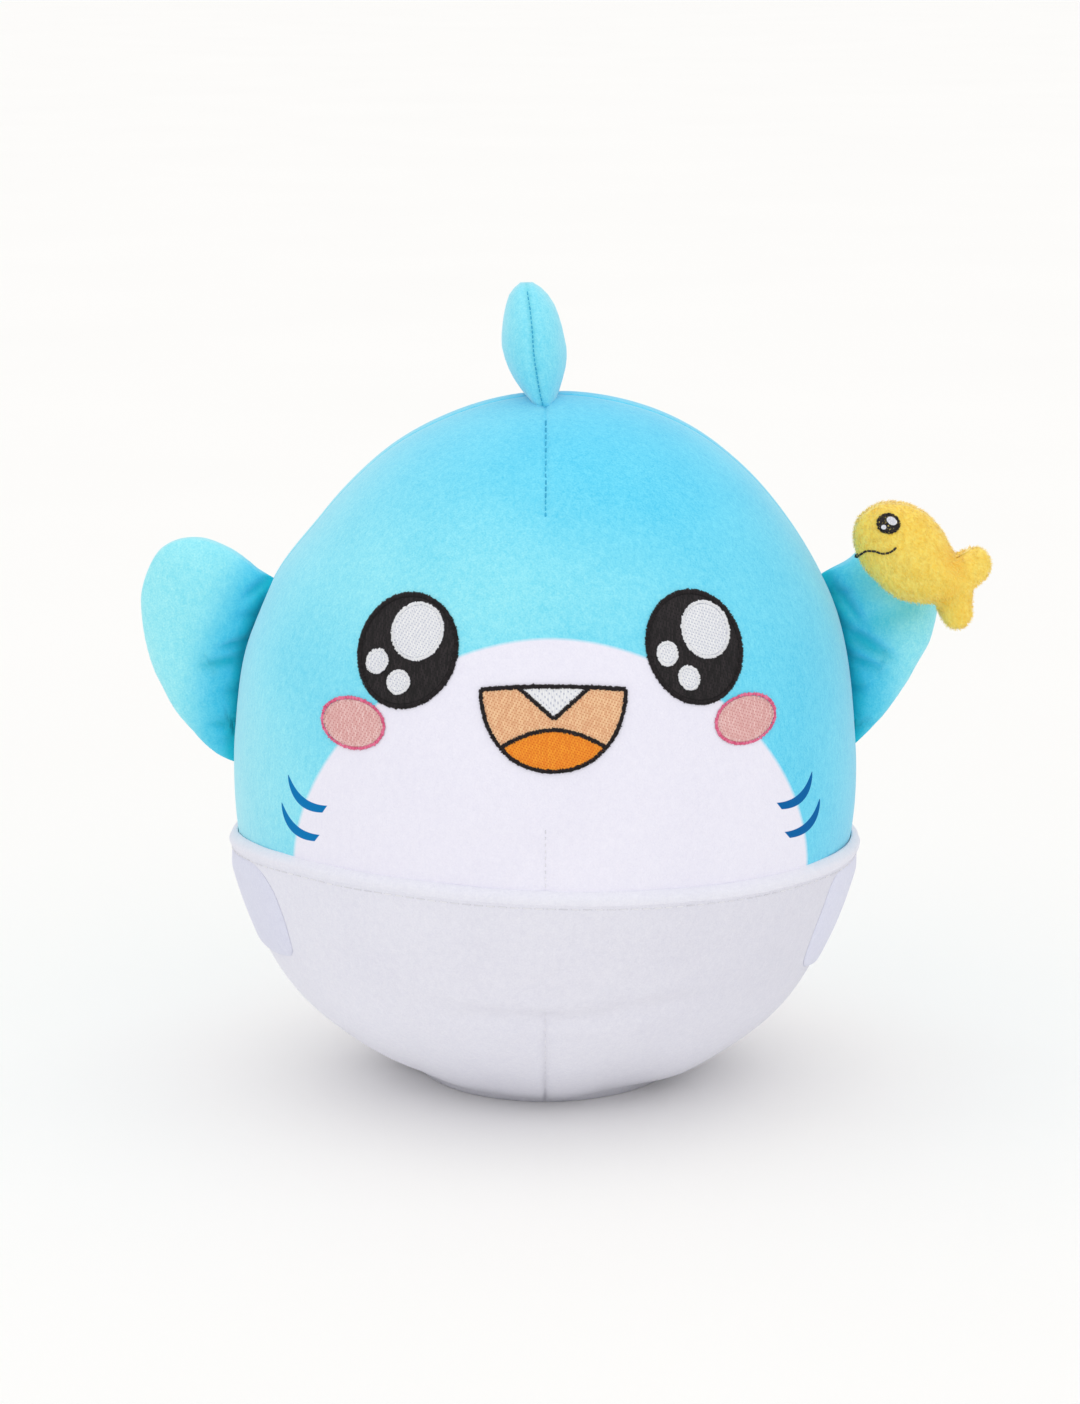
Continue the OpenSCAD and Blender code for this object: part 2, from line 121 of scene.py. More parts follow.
# %% [markdown]
# ## Small helpers for meshes
# Each piece starts as a primitive, and numpy then moves its points to their measured places: it is the same
# as pulling points by hand, and it is exact. Points are placed in the mesh itself, so the object stays at the
# origin.

# %% Helpers


def in_mm(places):
    """Places given in millimetres, as metres."""
    return np.array(places, float) * MM


def deselect():
    if bpy.context.mode != "OBJECT":
        bpy.ops.object.mode_set(mode="OBJECT")
    bpy.ops.object.select_all(action="DESELECT")


def pick(piece):
    """Selects one piece alone and makes it the active one."""
    deselect()
    piece.select_set(True)
    bpy.context.view_layer.objects.active = piece


def new_piece(name, add_primitive, **settings):
    """Adds one primitive with nothing else selected, and names it."""
    deselect()
    add_primitive(**settings)
    piece = bpy.context.object
    piece.name = name
    return piece


def points_of(piece):
    sheen_off = np.empty(len(piece.data.vertices) * 3)
    piece.data.vertices.foreach_get("co", sheen_off)
    return sheen_off.reshape(-1, 3)


def put_points(piece, points):
    piece.data.vertices.foreach_set("co", np.asarray(points, dtype=float).ravel())
    piece.data.update()


def in_edit_mode(piece, *steps):
    """Runs edit-mode operators on all of a piece's mesh."""
    pick(piece)
    bpy.ops.object.mode_set(mode="EDIT")
    bpy.ops.mesh.select_all(action="SELECT")
    for step in steps:
        step()
    bpy.ops.object.mode_set(mode="OBJECT")


def merge_close():
    bpy.ops.mesh.remove_doubles(threshold=0.02 * MM)


def face_outwards():
    bpy.ops.mesh.normals_make_consistent(inside=False)


def turn_outwards(piece):
    """An open panel has no inside of its own, so its faces are turned away from the toy's middle."""
    middle = Vector((0, 0, 0.117))
    outward = sum((1 if face.normal.dot(face.center - middle) > 0 else -1) for face in piece.data.polygons)
    if outward < 0:
        in_edit_mode(piece, bpy.ops.mesh.flip_normals)


def bake_modifier(piece, kind, **settings):
    """Adds one modifier, sets it, and applies it."""
    pick(piece)
    modifier = piece.modifiers.new(kind.lower(), kind)
    for name, value in settings.items():
        setattr(modifier, name, value)
    bpy.ops.object.modifier_apply(modifier=modifier.name)


def copied(piece, count):
    """Copies a small piece's mesh many times. The copies' points are placed afterwards."""
    bake_modifier(piece, "ARRAY", count=count, use_relative_offset=False, use_constant_offset=True,
                  constant_offset_displace=(0, 0, 0.01))


def finish_piece(piece, finish, body, *nodes):
    """Gives a piece the material of its finish (a material and a slot) and its body, and hides the CAD nodes
    that it stands for. The finish's slot is not used here.

    body is a name, or for cloth that bends at a joint: its two bodies, where the bend starts, and where it
    ends. These entries are not used, and such a piece is not put on a body."""
    material, slot = finish
    piece.data.materials.clear()
    piece.data.materials.append(material)
    for face in piece.data.polygons:
        face.use_smooth = True
    if isinstance(body, str):
        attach(piece, body)
    else:
        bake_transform(piece)
    if nodes:
        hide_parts(*nodes)
    print(piece.name, len(piece.data.polygons), "faces")
    return piece


def smooth_step(low, high, value):
    share = np.clip((value - low) / (high - low), 0, 1)
    return share * share * (3 - 2 * share)


def lumps(points, size, seed):
    """Soft uneven swelling, from -1 to 1, as loose fibre gives."""
    shift = Vector((seed, seed * 0.7, 0))
    sheen_off = points.reshape(-1, 3)
    return np.array([noise.noise(Vector(p) / size + shift) for p in sheen_off]).reshape(points.shape[:-1])


def fold(across, up, start, end, width):
    """How deep a crease is at each place, from 0 to 1.

    It fades at its ends and sides, and narrows towards its end."""
    start, end = np.array(start, float), np.array(end, float)
    run = end - start
    length = np.hypot(*run)
    along = ((across - start[0]) * run[0] + (up - start[1]) * run[1]) / length**2
    off = ((up - start[1]) * run[0] - (across - start[0]) * run[1]) / length
    along = np.clip(along, 0, 1)
    return 4 * along * (1 - along) * np.exp(-((off / (width * (1.3 - 0.6 * along))) ** 2))


# %% [markdown]
# ## Fabric and thread finishes
# Short-pile cloth is matt, with a pale sheen at its edges where the pile is seen from the side. Its colour is
# mottled, because the pile lies in slightly different directions. One node group makes that mottling, and
# each cloth uses it with its own colours. Thread is smoother, and each stitch has a tone of its own.

# %% Node helpers


def srgb(r, g, b):
    """A colour given as 0 to 255 on a screen, as Blender's linear numbers."""
    shares = [c / 255 for c in (r, g, b)]
    return tuple(c / 12.92 if c <= 0.04 else ((c + 0.055) / 1.055) ** 2.4 for c in shares) + (1,)


def link(tree, source, target):
    tree.links.new(source, target)
    return target


def feed(tree, socket, value):
    """Sets a socket from a number or links it from another socket."""
    if isinstance(value, bpy.types.NodeSocket):
        tree.links.new(value, socket)
    else:
        socket.default_value = value


def maths(tree, operation, a, b=0.0, clamp=False):
    node = tree.nodes.new("ShaderNodeMath")
    node.operation = operation
    node.use_clamp = clamp
    feed(tree, node.inputs[0], a)
    feed(tree, node.inputs[1], b)
    return node.outputs[0]


def arithmetic(tree):
    """Plus, minus, times and divided by, as short functions that add Math nodes to one tree."""
    def rule(operation):
        return lambda a, b, clamp=False: maths(tree, operation, a, b, clamp)
    return [rule(operation) for operation in ("ADD", "SUBTRACT", "MULTIPLY", "DIVIDE")]


def speckle(tree, vector, scale, detail=2.0):
    node = tree.nodes.new("ShaderNodeTexNoise")
    node.inputs["Scale"].default_value = scale
    node.inputs["Detail"].default_value = detail
    feed(tree, node.inputs["Vector"], vector)
    return node.outputs["Fac"]


def stretched(tree, vector, scale):
    node = tree.nodes.new("ShaderNodeMapping")
    node.inputs["Scale"].default_value = scale
    feed(tree, node.inputs["Vector"], vector)
    return node.outputs["Vector"]


def blended(tree, share, low, high):
    node = tree.nodes.new("ShaderNodeMix")
    node.data_type = "RGBA"
    feed(tree, node.inputs["Factor"], share)
    feed(tree, node.inputs[6], low)
    feed(tree, node.inputs[7], high)
    return node.outputs[2]


def attribute(tree, name):
    node = tree.nodes.new("ShaderNodeAttribute")
    node.attribute_name = name
    return node.outputs["Fac"]


def node_group(name, numbers_in, numbers_out):
    """A node group that reads a place and some numbers, and puts numbers out."""
    group = bpy.data.node_groups.new(name, "ShaderNodeTree")
    group.interface.new_socket("Vector", in_out="INPUT", socket_type="NodeSocketVector")
    for way, names in (("INPUT", numbers_in), ("OUTPUT", numbers_out)):
        for number in names:
            group.interface.new_socket(number, in_out=way, socket_type="NodeSocketFloat")
    return group, group.nodes.new("NodeGroupInput").outputs, group.nodes.new("NodeGroupOutput").inputs


def put_group(tree, group, place):
    node = tree.nodes.new("ShaderNodeGroup")
    node.node_tree = group
    link(tree, place, node.inputs["Vector"])
    return node


# %% The pile's mottling, as a node group
pile_group, pile_in, pile_out = node_group("cloth_pile", [], ["Tone", "Height"])
plus, minus, times, over = arithmetic(pile_group)
pile_grain = speckle(pile_group, pile_in["Vector"], 1500)
pile_brush = speckle(pile_group, stretched(pile_group, pile_in["Vector"], (1, 1, 0.6)), 560)
pile_cloud = speckle(pile_group, pile_in["Vector"], 28, 3)
pile_height = plus(times(pile_grain, 0.45), times(pile_brush, 0.3))
link(pile_group, plus(pile_height, times(pile_cloud, 0.25)), pile_out["Tone"])
link(pile_group, pile_height, pile_out["Height"])


def new_material(name):
    material = bpy.data.materials.new(name)
    material.use_nodes = True
    shader = material.node_tree.nodes["Principled BSDF"]
    return material, material.node_tree, shader


def relief(tree, shader, height, depth, strength):
    bump = tree.nodes.new("ShaderNodeBump")
    bump.inputs["Distance"].default_value = depth
    bump.inputs["Strength"].default_value = strength
    link(tree, height, bump.inputs["Height"])
    link(tree, bump.outputs["Normal"], shader.inputs["Normal"])


def pile_cloth(name, low, high, sheen, depth, slot=None, print_over=None, painted_shade=None, painted_light=None):
    """Cloth with a pile: two tones of a colour, a soft sheen and a fine relief. Painted shade deepens the
    colour in creases and beside sewn roots, and takes the sheen away there; painted light makes the cloth
    paler on the sides that face the light. Both come from attributes of the mesh."""
    material, tree, shader = new_material(name)
    place = tree.nodes.new("ShaderNodeTexCoord").outputs["Object"]
    pile = put_group(tree, pile_group, place)
    tone = maths(tree, "MULTIPLY", maths(tree, "SUBTRACT", pile.outputs["Tone"], 0.3), 2.5, clamp=True)
    colour = blended(tree, tone, low, high)
    sheen_off = None
    # Painted light: a paler pair of tones where the mesh's attribute says so.
    if painted_light:
        colour = blended(tree, attribute(tree, "painted_light"), colour, blended(tree, tone, *painted_light))
    if print_over:
        colour, sheen_off = print_over(tree, place, colour, tone)
    # Painted shade: a deeper colour and no sheen in creases and beside roots.
    if painted_shade:
        shade_share = attribute(tree, "painted_shade")
        colour = blended(tree, shade_share, colour, painted_shade)
        sheen_off = maths(tree, "MAXIMUM", sheen_off, shade_share) if sheen_off else shade_share
    link(tree, colour, shader.inputs["Base Color"])
    shader.inputs["Roughness"].default_value = 0.9
    shader.inputs["Specular IOR Level"].default_value = 0.15
    if sheen_off:
        upright = maths(tree, "SUBTRACT", 1, sheen_off, clamp=True)
        link(tree, maths(tree, "MULTIPLY", upright, sheen), shader.inputs["Sheen Weight"])
    else:
        shader.inputs["Sheen Weight"].default_value = sheen
    shader.inputs["Sheen Roughness"].default_value = 0.45
    relief(tree, shader, pile.outputs["Height"], depth, 0.55)
    return material, slot or name


def thread(name, low, high, slot=None):
    """Embroidery thread: a little gloss, and a tone that changes from stitch to stitch."""
    material, tree, shader = new_material(name)
    link(tree, blended(tree, attribute(tree, "tone"), low, high), shader.inputs["Base Color"])
    place = tree.nodes.new("ShaderNodeTexCoord").outputs["Object"]
    shader.inputs["Roughness"].default_value = 0.55
    shader.inputs["Specular IOR Level"].default_value = 0.3
    relief(tree, shader, speckle(tree, place, 3000), 0.00012, 0.5)
    return material, slot or name


# %% [markdown]
# ## The printed belly and gill marks
# The white belly and the dark gill marks are printed on the front panel before it is cut, so they are colour
# and not shape. The belly is a rounded oval. Each gill mark is a crescent: a bent line, sharp at its outer
# tip and cut off square at its inner end. Both are worked out from the distance to a curve, so their edges
# stay sharp.

# %% The belly's print, as a node group
BELLY_MIDDLE = (2 * MM, 95 * MM)
BELLY_HALF = (92 * MM, 90 * MM)
BELLY_POWER = 1.88
PRINT_BLUR = 0.012

belly_group, belly_in, belly_out = node_group("belly_print", [], ["Mask"])
plus, minus, times, over = arithmetic(belly_group)
belly_parts = belly_group.nodes.new("ShaderNodeSeparateXYZ")
link(belly_group, belly_in["Vector"], belly_parts.inputs[0])
belly_terms = []
for axis, middle, half in zip("XZ", BELLY_MIDDLE, BELLY_HALF):
    off = maths(belly_group, "ABSOLUTE", over(minus(belly_parts.outputs[axis], middle), half))
    belly_terms.append(maths(belly_group, "POWER", off, BELLY_POWER))
belly_inside = over(minus(1 + PRINT_BLUR, plus(*belly_terms)), 2 * PRINT_BLUR, clamp=True)
link(belly_group, belly_inside, belly_out["Mask"])

# %% A gill mark's print, as a node group
GILL_SIZES = ("Tip X", "Tip Z", "Run X", "Run Z", "Sag")
GILL_EDGE = 0.1 * MM
GILL_CUT = 80

gill_group, gill, gill_out = node_group("gill_print", [*GILL_SIZES, "Width"], ["Mask"])
plus, minus, times, over = arithmetic(gill_group)
gill_parts = gill_group.nodes.new("ShaderNodeSeparateXYZ")
link(gill_group, gill["Vector"], gill_parts.inputs[0])
from_tip_x = minus(gill_parts.outputs["X"], gill["Tip X"])
from_tip_z = minus(gill_parts.outputs["Z"], gill["Tip Z"])
gill_length2 = plus(times(gill["Run X"], gill["Run X"]), times(gill["Run Z"], gill["Run Z"]))
gill_length = maths(gill_group, "SQRT", gill_length2)
gill_share = over(plus(times(from_tip_x, gill["Run X"]), times(from_tip_z, gill["Run Z"])), gill_length2)
gill_along = plus(gill_share, 0.0, clamp=True)
gill_off = over(minus(times(from_tip_z, gill["Run X"]), times(from_tip_x, gill["Run Z"])), gill_length)
gill_bow = times(times(gill_along, minus(1, gill_along)), 4)
gill_from_line = maths(gill_group, "ABSOLUTE", plus(gill_off, times(gill_bow, gill["Sag"])))
gill_from_tip = maths(gill_group, "POWER", gill_along, 0.6)
gill_to_end = maths(gill_group, "POWER", minus(1, times(gill_along, 0.55)), 0.8)
gill_half = times(times(gill_from_tip, gill_to_end), gill["Width"])
gill_end = times(minus(1, gill_share), GILL_CUT, clamp=True)
gill_side = over(minus(gill_half, gill_from_line), GILL_EDGE, clamp=True)
link(gill_group, times(gill_end, gill_side), gill_out["Mask"])

# %% Where the print lies
# Each gill mark: its tip, the run from the tip to its inner end, and how far it sags (all in millimetres)
GILLS = [
    ((-91.6, 129.6), (14.0, -8.8), 4.0),
    ((-94.2, 118.8), (13.6, -9.2), 4.0),
    ((95.4, 129.6), (-12.8, -8.8), -4.1),
    ((98.6, 118.6), (-12.8, -9.2), -4.1),
]
GILL_HALF_WIDTH = 3.35 * MM
BELLY_LOW, BELLY_HIGH = srgb(236, 234, 248), srgb(246, 244, 255)
# The right gill marks are the same ink, drawn darker: painted shade on the side away from the light.
GILL_INK, GILL_INK_PAINTED_SHADE = srgb(0, 120, 186), srgb(0, 100, 168)


def printed(tree, place, blue, tone):
    """The front panel's print over its blue ground, and where the ink lies flat."""
    inked = 0.0
    belly = put_group(tree, belly_group, place)
    colour = blended(tree, belly.outputs["Mask"], blue, blended(tree, tone, BELLY_LOW, BELLY_HIGH))
    for tip, run, sag in GILLS:
        gill_mark = put_group(tree, gill_group, place)
        for size, value in zip(GILL_SIZES, (*tip, *run, sag)):
            gill_mark.inputs[size].default_value = value * MM
        gill_mark.inputs["Width"].default_value = GILL_HALF_WIDTH
        colour = blended(tree, gill_mark.outputs["Mask"], colour, GILL_INK if tip[0] < 0 else GILL_INK_PAINTED_SHADE)
        inked = maths(tree, "MAXIMUM", gill_mark.outputs["Mask"], inked)
    return colour, inked


# %% The finishes
# The deep blue and the deep yellow are painted shade for creases, seams and roots; the paler blue and white
# pairs are painted light for the sides that face the light.
BLUE_LOW, BLUE_HIGH, BLUE_PAINTED_SHADE = srgb(56, 198, 240), srgb(118, 228, 254), srgb(0, 190, 208)
BLUE_PAINTED_LIGHT = srgb(124, 226, 244), srgb(180, 250, 255)
BLUE_PAINTED_LIGHTING = dict(painted_shade=BLUE_PAINTED_SHADE, painted_light=BLUE_PAINTED_LIGHT)
KNIT_PAINTED_LIGHT = srgb(234, 234, 246), srgb(246, 246, 254)
YELLOW_PAINTED_SHADE = srgb(244, 160, 0)
blue_pile = pile_cloth("blue_pile", BLUE_LOW, BLUE_HIGH, 0.5, 0.0005, **BLUE_PAINTED_LIGHTING)
printed_pile = pile_cloth("printed_pile", BLUE_LOW, BLUE_HIGH, 0.5, 0.0005, "blue_pile", printed,
                          **BLUE_PAINTED_LIGHTING)
white_knit = pile_cloth("white_knit", srgb(218, 217, 229), srgb(232, 231, 240), 0.15, 0.0004,
                        painted_light=KNIT_PAINTED_LIGHT)
# The tabs are the nappy's own knit, drawn a little bluer as painted shade.
tab_knit_painted_shade = pile_cloth("tab_knit_painted_shade", srgb(219, 220, 238), srgb(232, 233, 247), 0.15, 0.0004, "white_knit")
yellow_pile = pile_cloth("yellow_pile", srgb(255, 214, 68), srgb(255, 238, 132), 0.7, 0.0005,
                         painted_shade=YELLOW_PAINTED_SHADE)
stuffing = pile_cloth("stuffing", srgb(228, 228, 224), srgb(250, 250, 248), 0.2, 0.001)
black_thread = thread("black_thread", srgb(3, 2, 3), srgb(50, 43, 46))
white_thread = thread("white_thread", srgb(186, 190, 206), srgb(255, 255, 255))
peach_thread = thread("peach_thread", srgb(210, 126, 82), srgb(255, 218, 172))
orange_thread = thread("orange_thread", srgb(224, 98, 0), srgb(255, 170, 46))
pink_thread = thread("pink_thread", srgb(208, 132, 130), srgb(255, 226, 222))
rose_thread = thread("rose_thread", srgb(216, 56, 110), srgb(255, 150, 184))
blue_thread = thread("blue_thread", srgb(0, 132, 184), srgb(70, 196, 232))
seam_thread = thread("seam_thread", srgb(196, 196, 210), srgb(252, 251, 255), "white_thread")
hook_tape = pile_cloth("hook_tape", srgb(220, 222, 230), srgb(240, 242, 248), 0.1, 0.0006)
print("finishes:", len(bpy.data.materials))

# %% [markdown]
# ## The ball's surface
# Everything sits on the ball, so its surface comes first, as a function. An angle says how far round a point
# is from straight ahead, and a second one runs from the crown, through the widest ring, down to the seat. The
# upper half is part of an ellipse. The lower half is a little fuller, because the toy's weight pushes its
# cloth out.

# %% The ball's shape, from the CAD nodes' boxes
cover_low, cover_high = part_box("front_cover")
BALL_R = cover_high[0]
CROWN_Z = cover_high[2]
SEAT_Z = cover_low[2]
WAIST_Z = 117 * MM
CROWN_H = CROWN_Z - WAIST_Z
DROP_H = WAIST_Z + 6 * MM
LOWER_POWER = 2.2
COVER_THICK = 1.2 * MM
print("ball radius", round(BALL_R, 4), "crown", round(CROWN_Z, 4), "seat", round(SEAT_Z, 4))


def ball_profile(turn, out=0.0):
    """Radius and height; turn is 90 degrees at the crown, 0 at the widest ring and negative below."""
    turn = np.asarray(turn, float)
    rise = np.sin(np.clip(turn, 0, None))
    drop = np.abs(np.sin(np.clip(turn, None, 0))) ** (2 / LOWER_POWER)
    radius = (BALL_R + out) * np.abs(np.cos(turn)) ** np.where(turn < 0, 2 / LOWER_POWER, 1)
    return radius, WAIST_Z + (CROWN_H + out) * rise - (DROP_H + out) * drop


def ball_turn(height, out=0.0):
    """The profile angle at a height."""
    height = np.asarray(height, float)
    up = np.arcsin(np.clip((height - WAIST_Z) / (CROWN_H + out), 0, 1))
    down = np.arcsin(np.clip((WAIST_Z - height) / (DROP_H + out), 0, 1) ** (LOWER_POWER / 2))
    return up - down


def ball_radius(height, out=0.0):
    return ball_profile(ball_turn(height, out), out)[0]


def round_the_ball(around, radius, height):
    return np.stack([radius * np.sin(around), -radius * np.cos(around), height], axis=-1)


def ball_normal(points):
    """The direction straight out of the ball at each point."""
    high = np.where(points[..., 2] > WAIST_Z, CROWN_H, DROP_H)
    out = points * np.array([1, 1, 0]) / BALL_R**2
    out[..., 2] = (points[..., 2] - WAIST_Z) / high**2
    return out / np.linalg.norm(out, axis=-1, keepdims=True)


# %% [markdown]
# ## The three cover panels
# The cover is a printed front panel and two plain back panels. They meet in a seam down each side and one
# down the back. A seam pulls the cloth in, so each has a narrow groove with a soft valley round it. Two darts
# take up fullness in the front panel: one runs down from the crown, and one from under the mouth down behind
# the nappy. Each panel is a grid bent onto the ball, with the cloth's real thickness.

# %% Dips that the sewing makes in the ball
CROWN_DART_LOW = 224 * MM
CHIN_DART_HIGH = 121 * MM


def seam_dip(off, narrow=0.9 * MM, deep=0.9 * MM, wide=5 * MM, soft=0.5 * MM):
    return deep * np.exp(-((off / narrow) ** 2)) + soft * np.exp(-((off / wide) ** 2))


def ball_dip(points):
    """How far the cloth is pulled in at each place, less how far its filling pushes it out."""
    back, height = points[..., 1], points[..., 2]
    across = points[..., 0] + ball_lean(height)
    front = np.where(back < 0, 1, 0)
    upper = np.where(height > WAIST_Z, 1, 0)
    side_seam = seam_dip(back)
    back_seam = (1 - front) * seam_dip(across)
    crown_dart = front * upper * seam_dip(across, 0.8 * MM, 0.9 * MM, 3 * MM, 0.25 * MM)
    crown_dart = crown_dart * smooth_step(CROWN_DART_LOW - 1 * MM, CROWN_DART_LOW + 4 * MM, height)
    dart_end = front * 0.9 * MM * np.exp(-((across**2 + (height - CROWN_DART_LOW) ** 2) / (2.6 * MM) ** 2))
    chin_dart = front * seam_dip(across, 0.6 * MM, 0.5 * MM, 4 * MM, 0.3 * MM)
    chin_dart = chin_dart * (1 - smooth_step(CHIN_DART_HIGH - 6 * MM, CHIN_DART_HIGH, height))
    chin_tuck = front * 0.9 * MM * fold(across, height, (-26 * MM, 112 * MM), (30 * MM, 112 * MM), 7 * MM)
    pulled = side_seam + back_seam + crown_dart + dart_end + chin_dart + chin_tuck
    swell = 0.5 * MM * lumps(points, 45 * MM, 3.1) * smooth_step(SEAT_Z, 60 * MM, height)
    return pulled * smooth_step(0, 6 * MM, np.hypot(across, back)) - swell


UNDERSIDE_ACROSS = [-90, -78, -60, -47, -32, -17, -2, 6, 13, 21, 28, 35, 43, 50, 65, 80]
UNDERSIDE_PRESS = [0.8, 1.9, 2.8, 3.6, 2.8, 2.6, 1.8, 1.8, 2.3, 3.2, 3.4, 2.9, 1.7, 1.0, 1.0, 0.4]


def underside_press(points):
    """How far the toy's weight and the nappy's hold press its lower front in, at each place."""
    across = np.interp(points[..., 0] / MM, UNDERSIDE_ACROSS, UNDERSIDE_PRESS) * MM
    front = smooth_step(0, 25 * MM, -points[..., 1])
    return across * front * (1 - smooth_step(12 * MM, 50 * MM, points[..., 2]))


def ball_lean(height):
    """The head leans a few millimetres to one side, more towards the crown."""
    head = smooth_step(128 * MM, 188 * MM, height)
    crown = smooth_step(232 * MM, 256 * MM, height)
    return 3.3 * MM * head + 1.9 * MM * crown


def side_swell(across, height):
    """The head is a few millimetres fuller on its left side, behind the fin."""
    share = smooth_step(132 * MM, 170 * MM, height) * (1 - smooth_step(186 * MM, 212 * MM, height))
    return -3.9 * MM * share * smooth_step(0.72, 0.97, -across / np.maximum(ball_radius(height), MM))


def ball_painted_light(points):
    """Painted light: how much paler the cloth is drawn, most on the brow and towards the lit left side, least
    on the right of the crown.
    """
    across, height = points[..., 0] / MM, points[..., 2] / MM
    brow = np.exp(-(((across + 15) / 70) ** 2 + ((height - 196) / 24) ** 2))
    crown_right = np.exp(-(((across - 45) / 45) ** 2 + ((height - 236) / 22) ** 2))
    low_left = np.clip(-across / 110, 0, 1) * (1 - smooth_step(125, 175, height))
    crown = smooth_step(222, 246, height)
    return 0.27 - 0.2 * across / 100 + 0.5 * brow - 0.3 * crown_right - 0.12 * crown + 0.25 * low_left


def ball_skin(points, lift=0.0):
    """Moves points of the plain ball to where the sewn cloth lies, or to a height above it."""
    moved = points + ball_normal(points) * (lift - ball_dip(points) - underside_press(points))[..., None]
    moved[..., 0] += ball_lean(points[..., 2]) + side_swell(points[..., 0], points[..., 2])
    moved[..., 2] -= 0.8 * MM * smooth_step(236 * MM, 256 * MM, points[..., 2])
    return moved


def mark(piece, name, amounts):
    """Keeps a share from 0 to 1 at each point, for the finishes to read."""
    layer = piece.data.attributes.get(name) or piece.data.attributes.new(name, "FLOAT", "POINT")
    layer.data.foreach_set("value", np.clip(amounts, 0, 1))


# %% The cover panels
SEAT_TURN = float(ball_turn(SEAT_Z))


def wrapped_panel(name, turns, divisions, seat_share, place, thickness, painted_light):
    """A grid bent round the ball between two angles in degrees, with the cloth's thickness inwards.

    Its lowest rows lie on the seat. place puts its points: it is given how far round they are, how far up the
    side, and how far out on the seat, the last two from 0 to 1."""
    panel = new_piece(name, bpy.ops.mesh.primitive_grid_add, x_subdivisions=divisions[0],
                      y_subdivisions=divisions[1], size=2)
    share = (points_of(panel)[:, :2] + 1) / 2
    around = np.radians(turns[0] + (turns[1] - turns[0]) * share[:, 0])
    up = np.clip((share[:, 1] - seat_share) / (1 - seat_share), 0, 1)
    out = np.clip(share[:, 1] / seat_share, 0, 1)
    put_points(panel, place(around, up, out))
    in_edit_mode(panel, merge_close, face_outwards)
    turn_outwards(panel)
    bake_modifier(panel, "SOLIDIFY", thickness=thickness, offset=-1)
    # Painted light: how much paler each point is drawn.
    mark(panel, "painted_light", painted_light(points_of(panel)))
    return panel


def place_cover(around, up, out):
    """From the middle of the seat to the crown."""
    radius, height = ball_profile(SEAT_TURN + (math.pi / 2 - SEAT_TURN) * up)
    return ball_skin(round_the_ball(around, radius * out, height))


for name, turns, divisions, finish, node in (
    ("cover_front", (-90, 90), (200, 170), printed_pile, "front_cover"),
    ("cover_back_right", (90, 180), (90, 150), blue_pile, "back_cover_right"),
    ("cover_back_left", (180, 270), (90, 150), blue_pile, "back_cover_left"),
):
    cover = wrapped_panel(name, turns, divisions, 0.1, place_cover, COVER_THICK, ball_painted_light)
    finish_piece(cover, finish, "body", node)

# %% [markdown]
# ## Fins, tail and fish: flat panels sewn in pairs and stuffed
# Each of these is two flat panels of one outline, sewn round the edge and filled. Filling a bag makes it
# thickest where it is widest, and pulls it to nothing at its seam. A stretched skin under even pressure takes
# the same form, and that form can be worked out on a grid of small squares: each square's height settles at
# the average of its neighbours' plus a little, with the seam held at nothing. The thickness is the root of
# that height.

# %% Outlines and the stuffed form


def rounded(corners, count):
    """A smooth closed curve through a few points."""
    corners = np.array(corners, float)
    curve = []
    for k in range(len(corners)):
        a, b, c, d = (corners[(k + j) % len(corners)] for j in (-1, 0, 1, 2))
        for u in np.linspace(0, 1, count, endpoint=False):
            bend = (2 * a - 5 * b + 4 * c - d) * u**2
            twist = (3 * b - a - 3 * c + d) * u**3
            curve.append(0.5 * (2 * b + (c - a) * u + bend + twist))
    return np.array(curve)


def inside(outline, across, up):
    """True where a point lies inside a closed outline."""
    result = np.zeros(np.shape(across), bool)
    for (x0, y0), (x1, y1) in zip(outline, np.roll(outline, -1, axis=0)):
        if y0 != y1:
            result ^= ((y0 > up) != (y1 > up)) & (across < (x1 - x0) * (up - y0) / (y1 - y0) + x0)
    return result


def reach(outline, middle, angles):
    """Distance from a middle point to the outline in each direction."""
    found = np.zeros(len(angles))
    for (x0, y0), (x1, y1) in zip(outline, np.roll(outline, -1, axis=0)):
        dx, dy, ex, ey = x1 - x0, y1 - y0, x0 - middle[0], y0 - middle[1]
        cross = np.cos(angles) * dy - np.sin(angles) * dx
        cross = np.where(np.abs(cross) < 1e-12, 1e-12, cross)
        far = (ex * dy - ey * dx) / cross
        along = (ex * np.sin(angles) - ey * np.cos(angles)) / cross
        found = np.where((far > 0) & (along >= -1e-9) & (along <= 1 + 1e-9), np.maximum(found, far), found)
    return found


def stuffed_height(outline, cells=110, passes=2600):
    """The stuffed form's half thickness over its outline, with 1 at its thickest, as a function."""
    low, high = outline.min(axis=0), outline.max(axis=0)
    step = (high - low).max() / cells
    xs = np.arange(low[0] - 2 * step, high[0] + 3 * step, step)
    ys = np.arange(low[1] - 2 * step, high[1] + 3 * step, step)
    grid_x, grid_y = np.meshgrid(xs, ys, indexing="ij")
    held = inside(outline, grid_x, grid_y)
    form = np.zeros_like(grid_x)
    for _ in range(passes):
        near = np.roll(form, 1, 0) + np.roll(form, -1, 0) + np.roll(form, 1, 1) + np.roll(form, -1, 1)
        form = np.where(held, 0.25 * near + 1, 0)
    form /= form.max()

    def at(across, up):
        i = np.clip((across - xs[0]) / step, 0, len(xs) - 2.001)
        j = np.clip((up - ys[0]) / step, 0, len(ys) - 2.001)
        i0, j0 = i.astype(int), j.astype(int)
        u, v = i - i0, j - j0
        mixed = (form[i0, j0] * (1 - u) * (1 - v) + form[i0 + 1, j0] * u * (1 - v)
                 + form[i0, j0 + 1] * (1 - u) * v + form[i0 + 1, j0 + 1] * u * v)
        return np.sqrt(np.clip(mixed, 0, None))

    return at


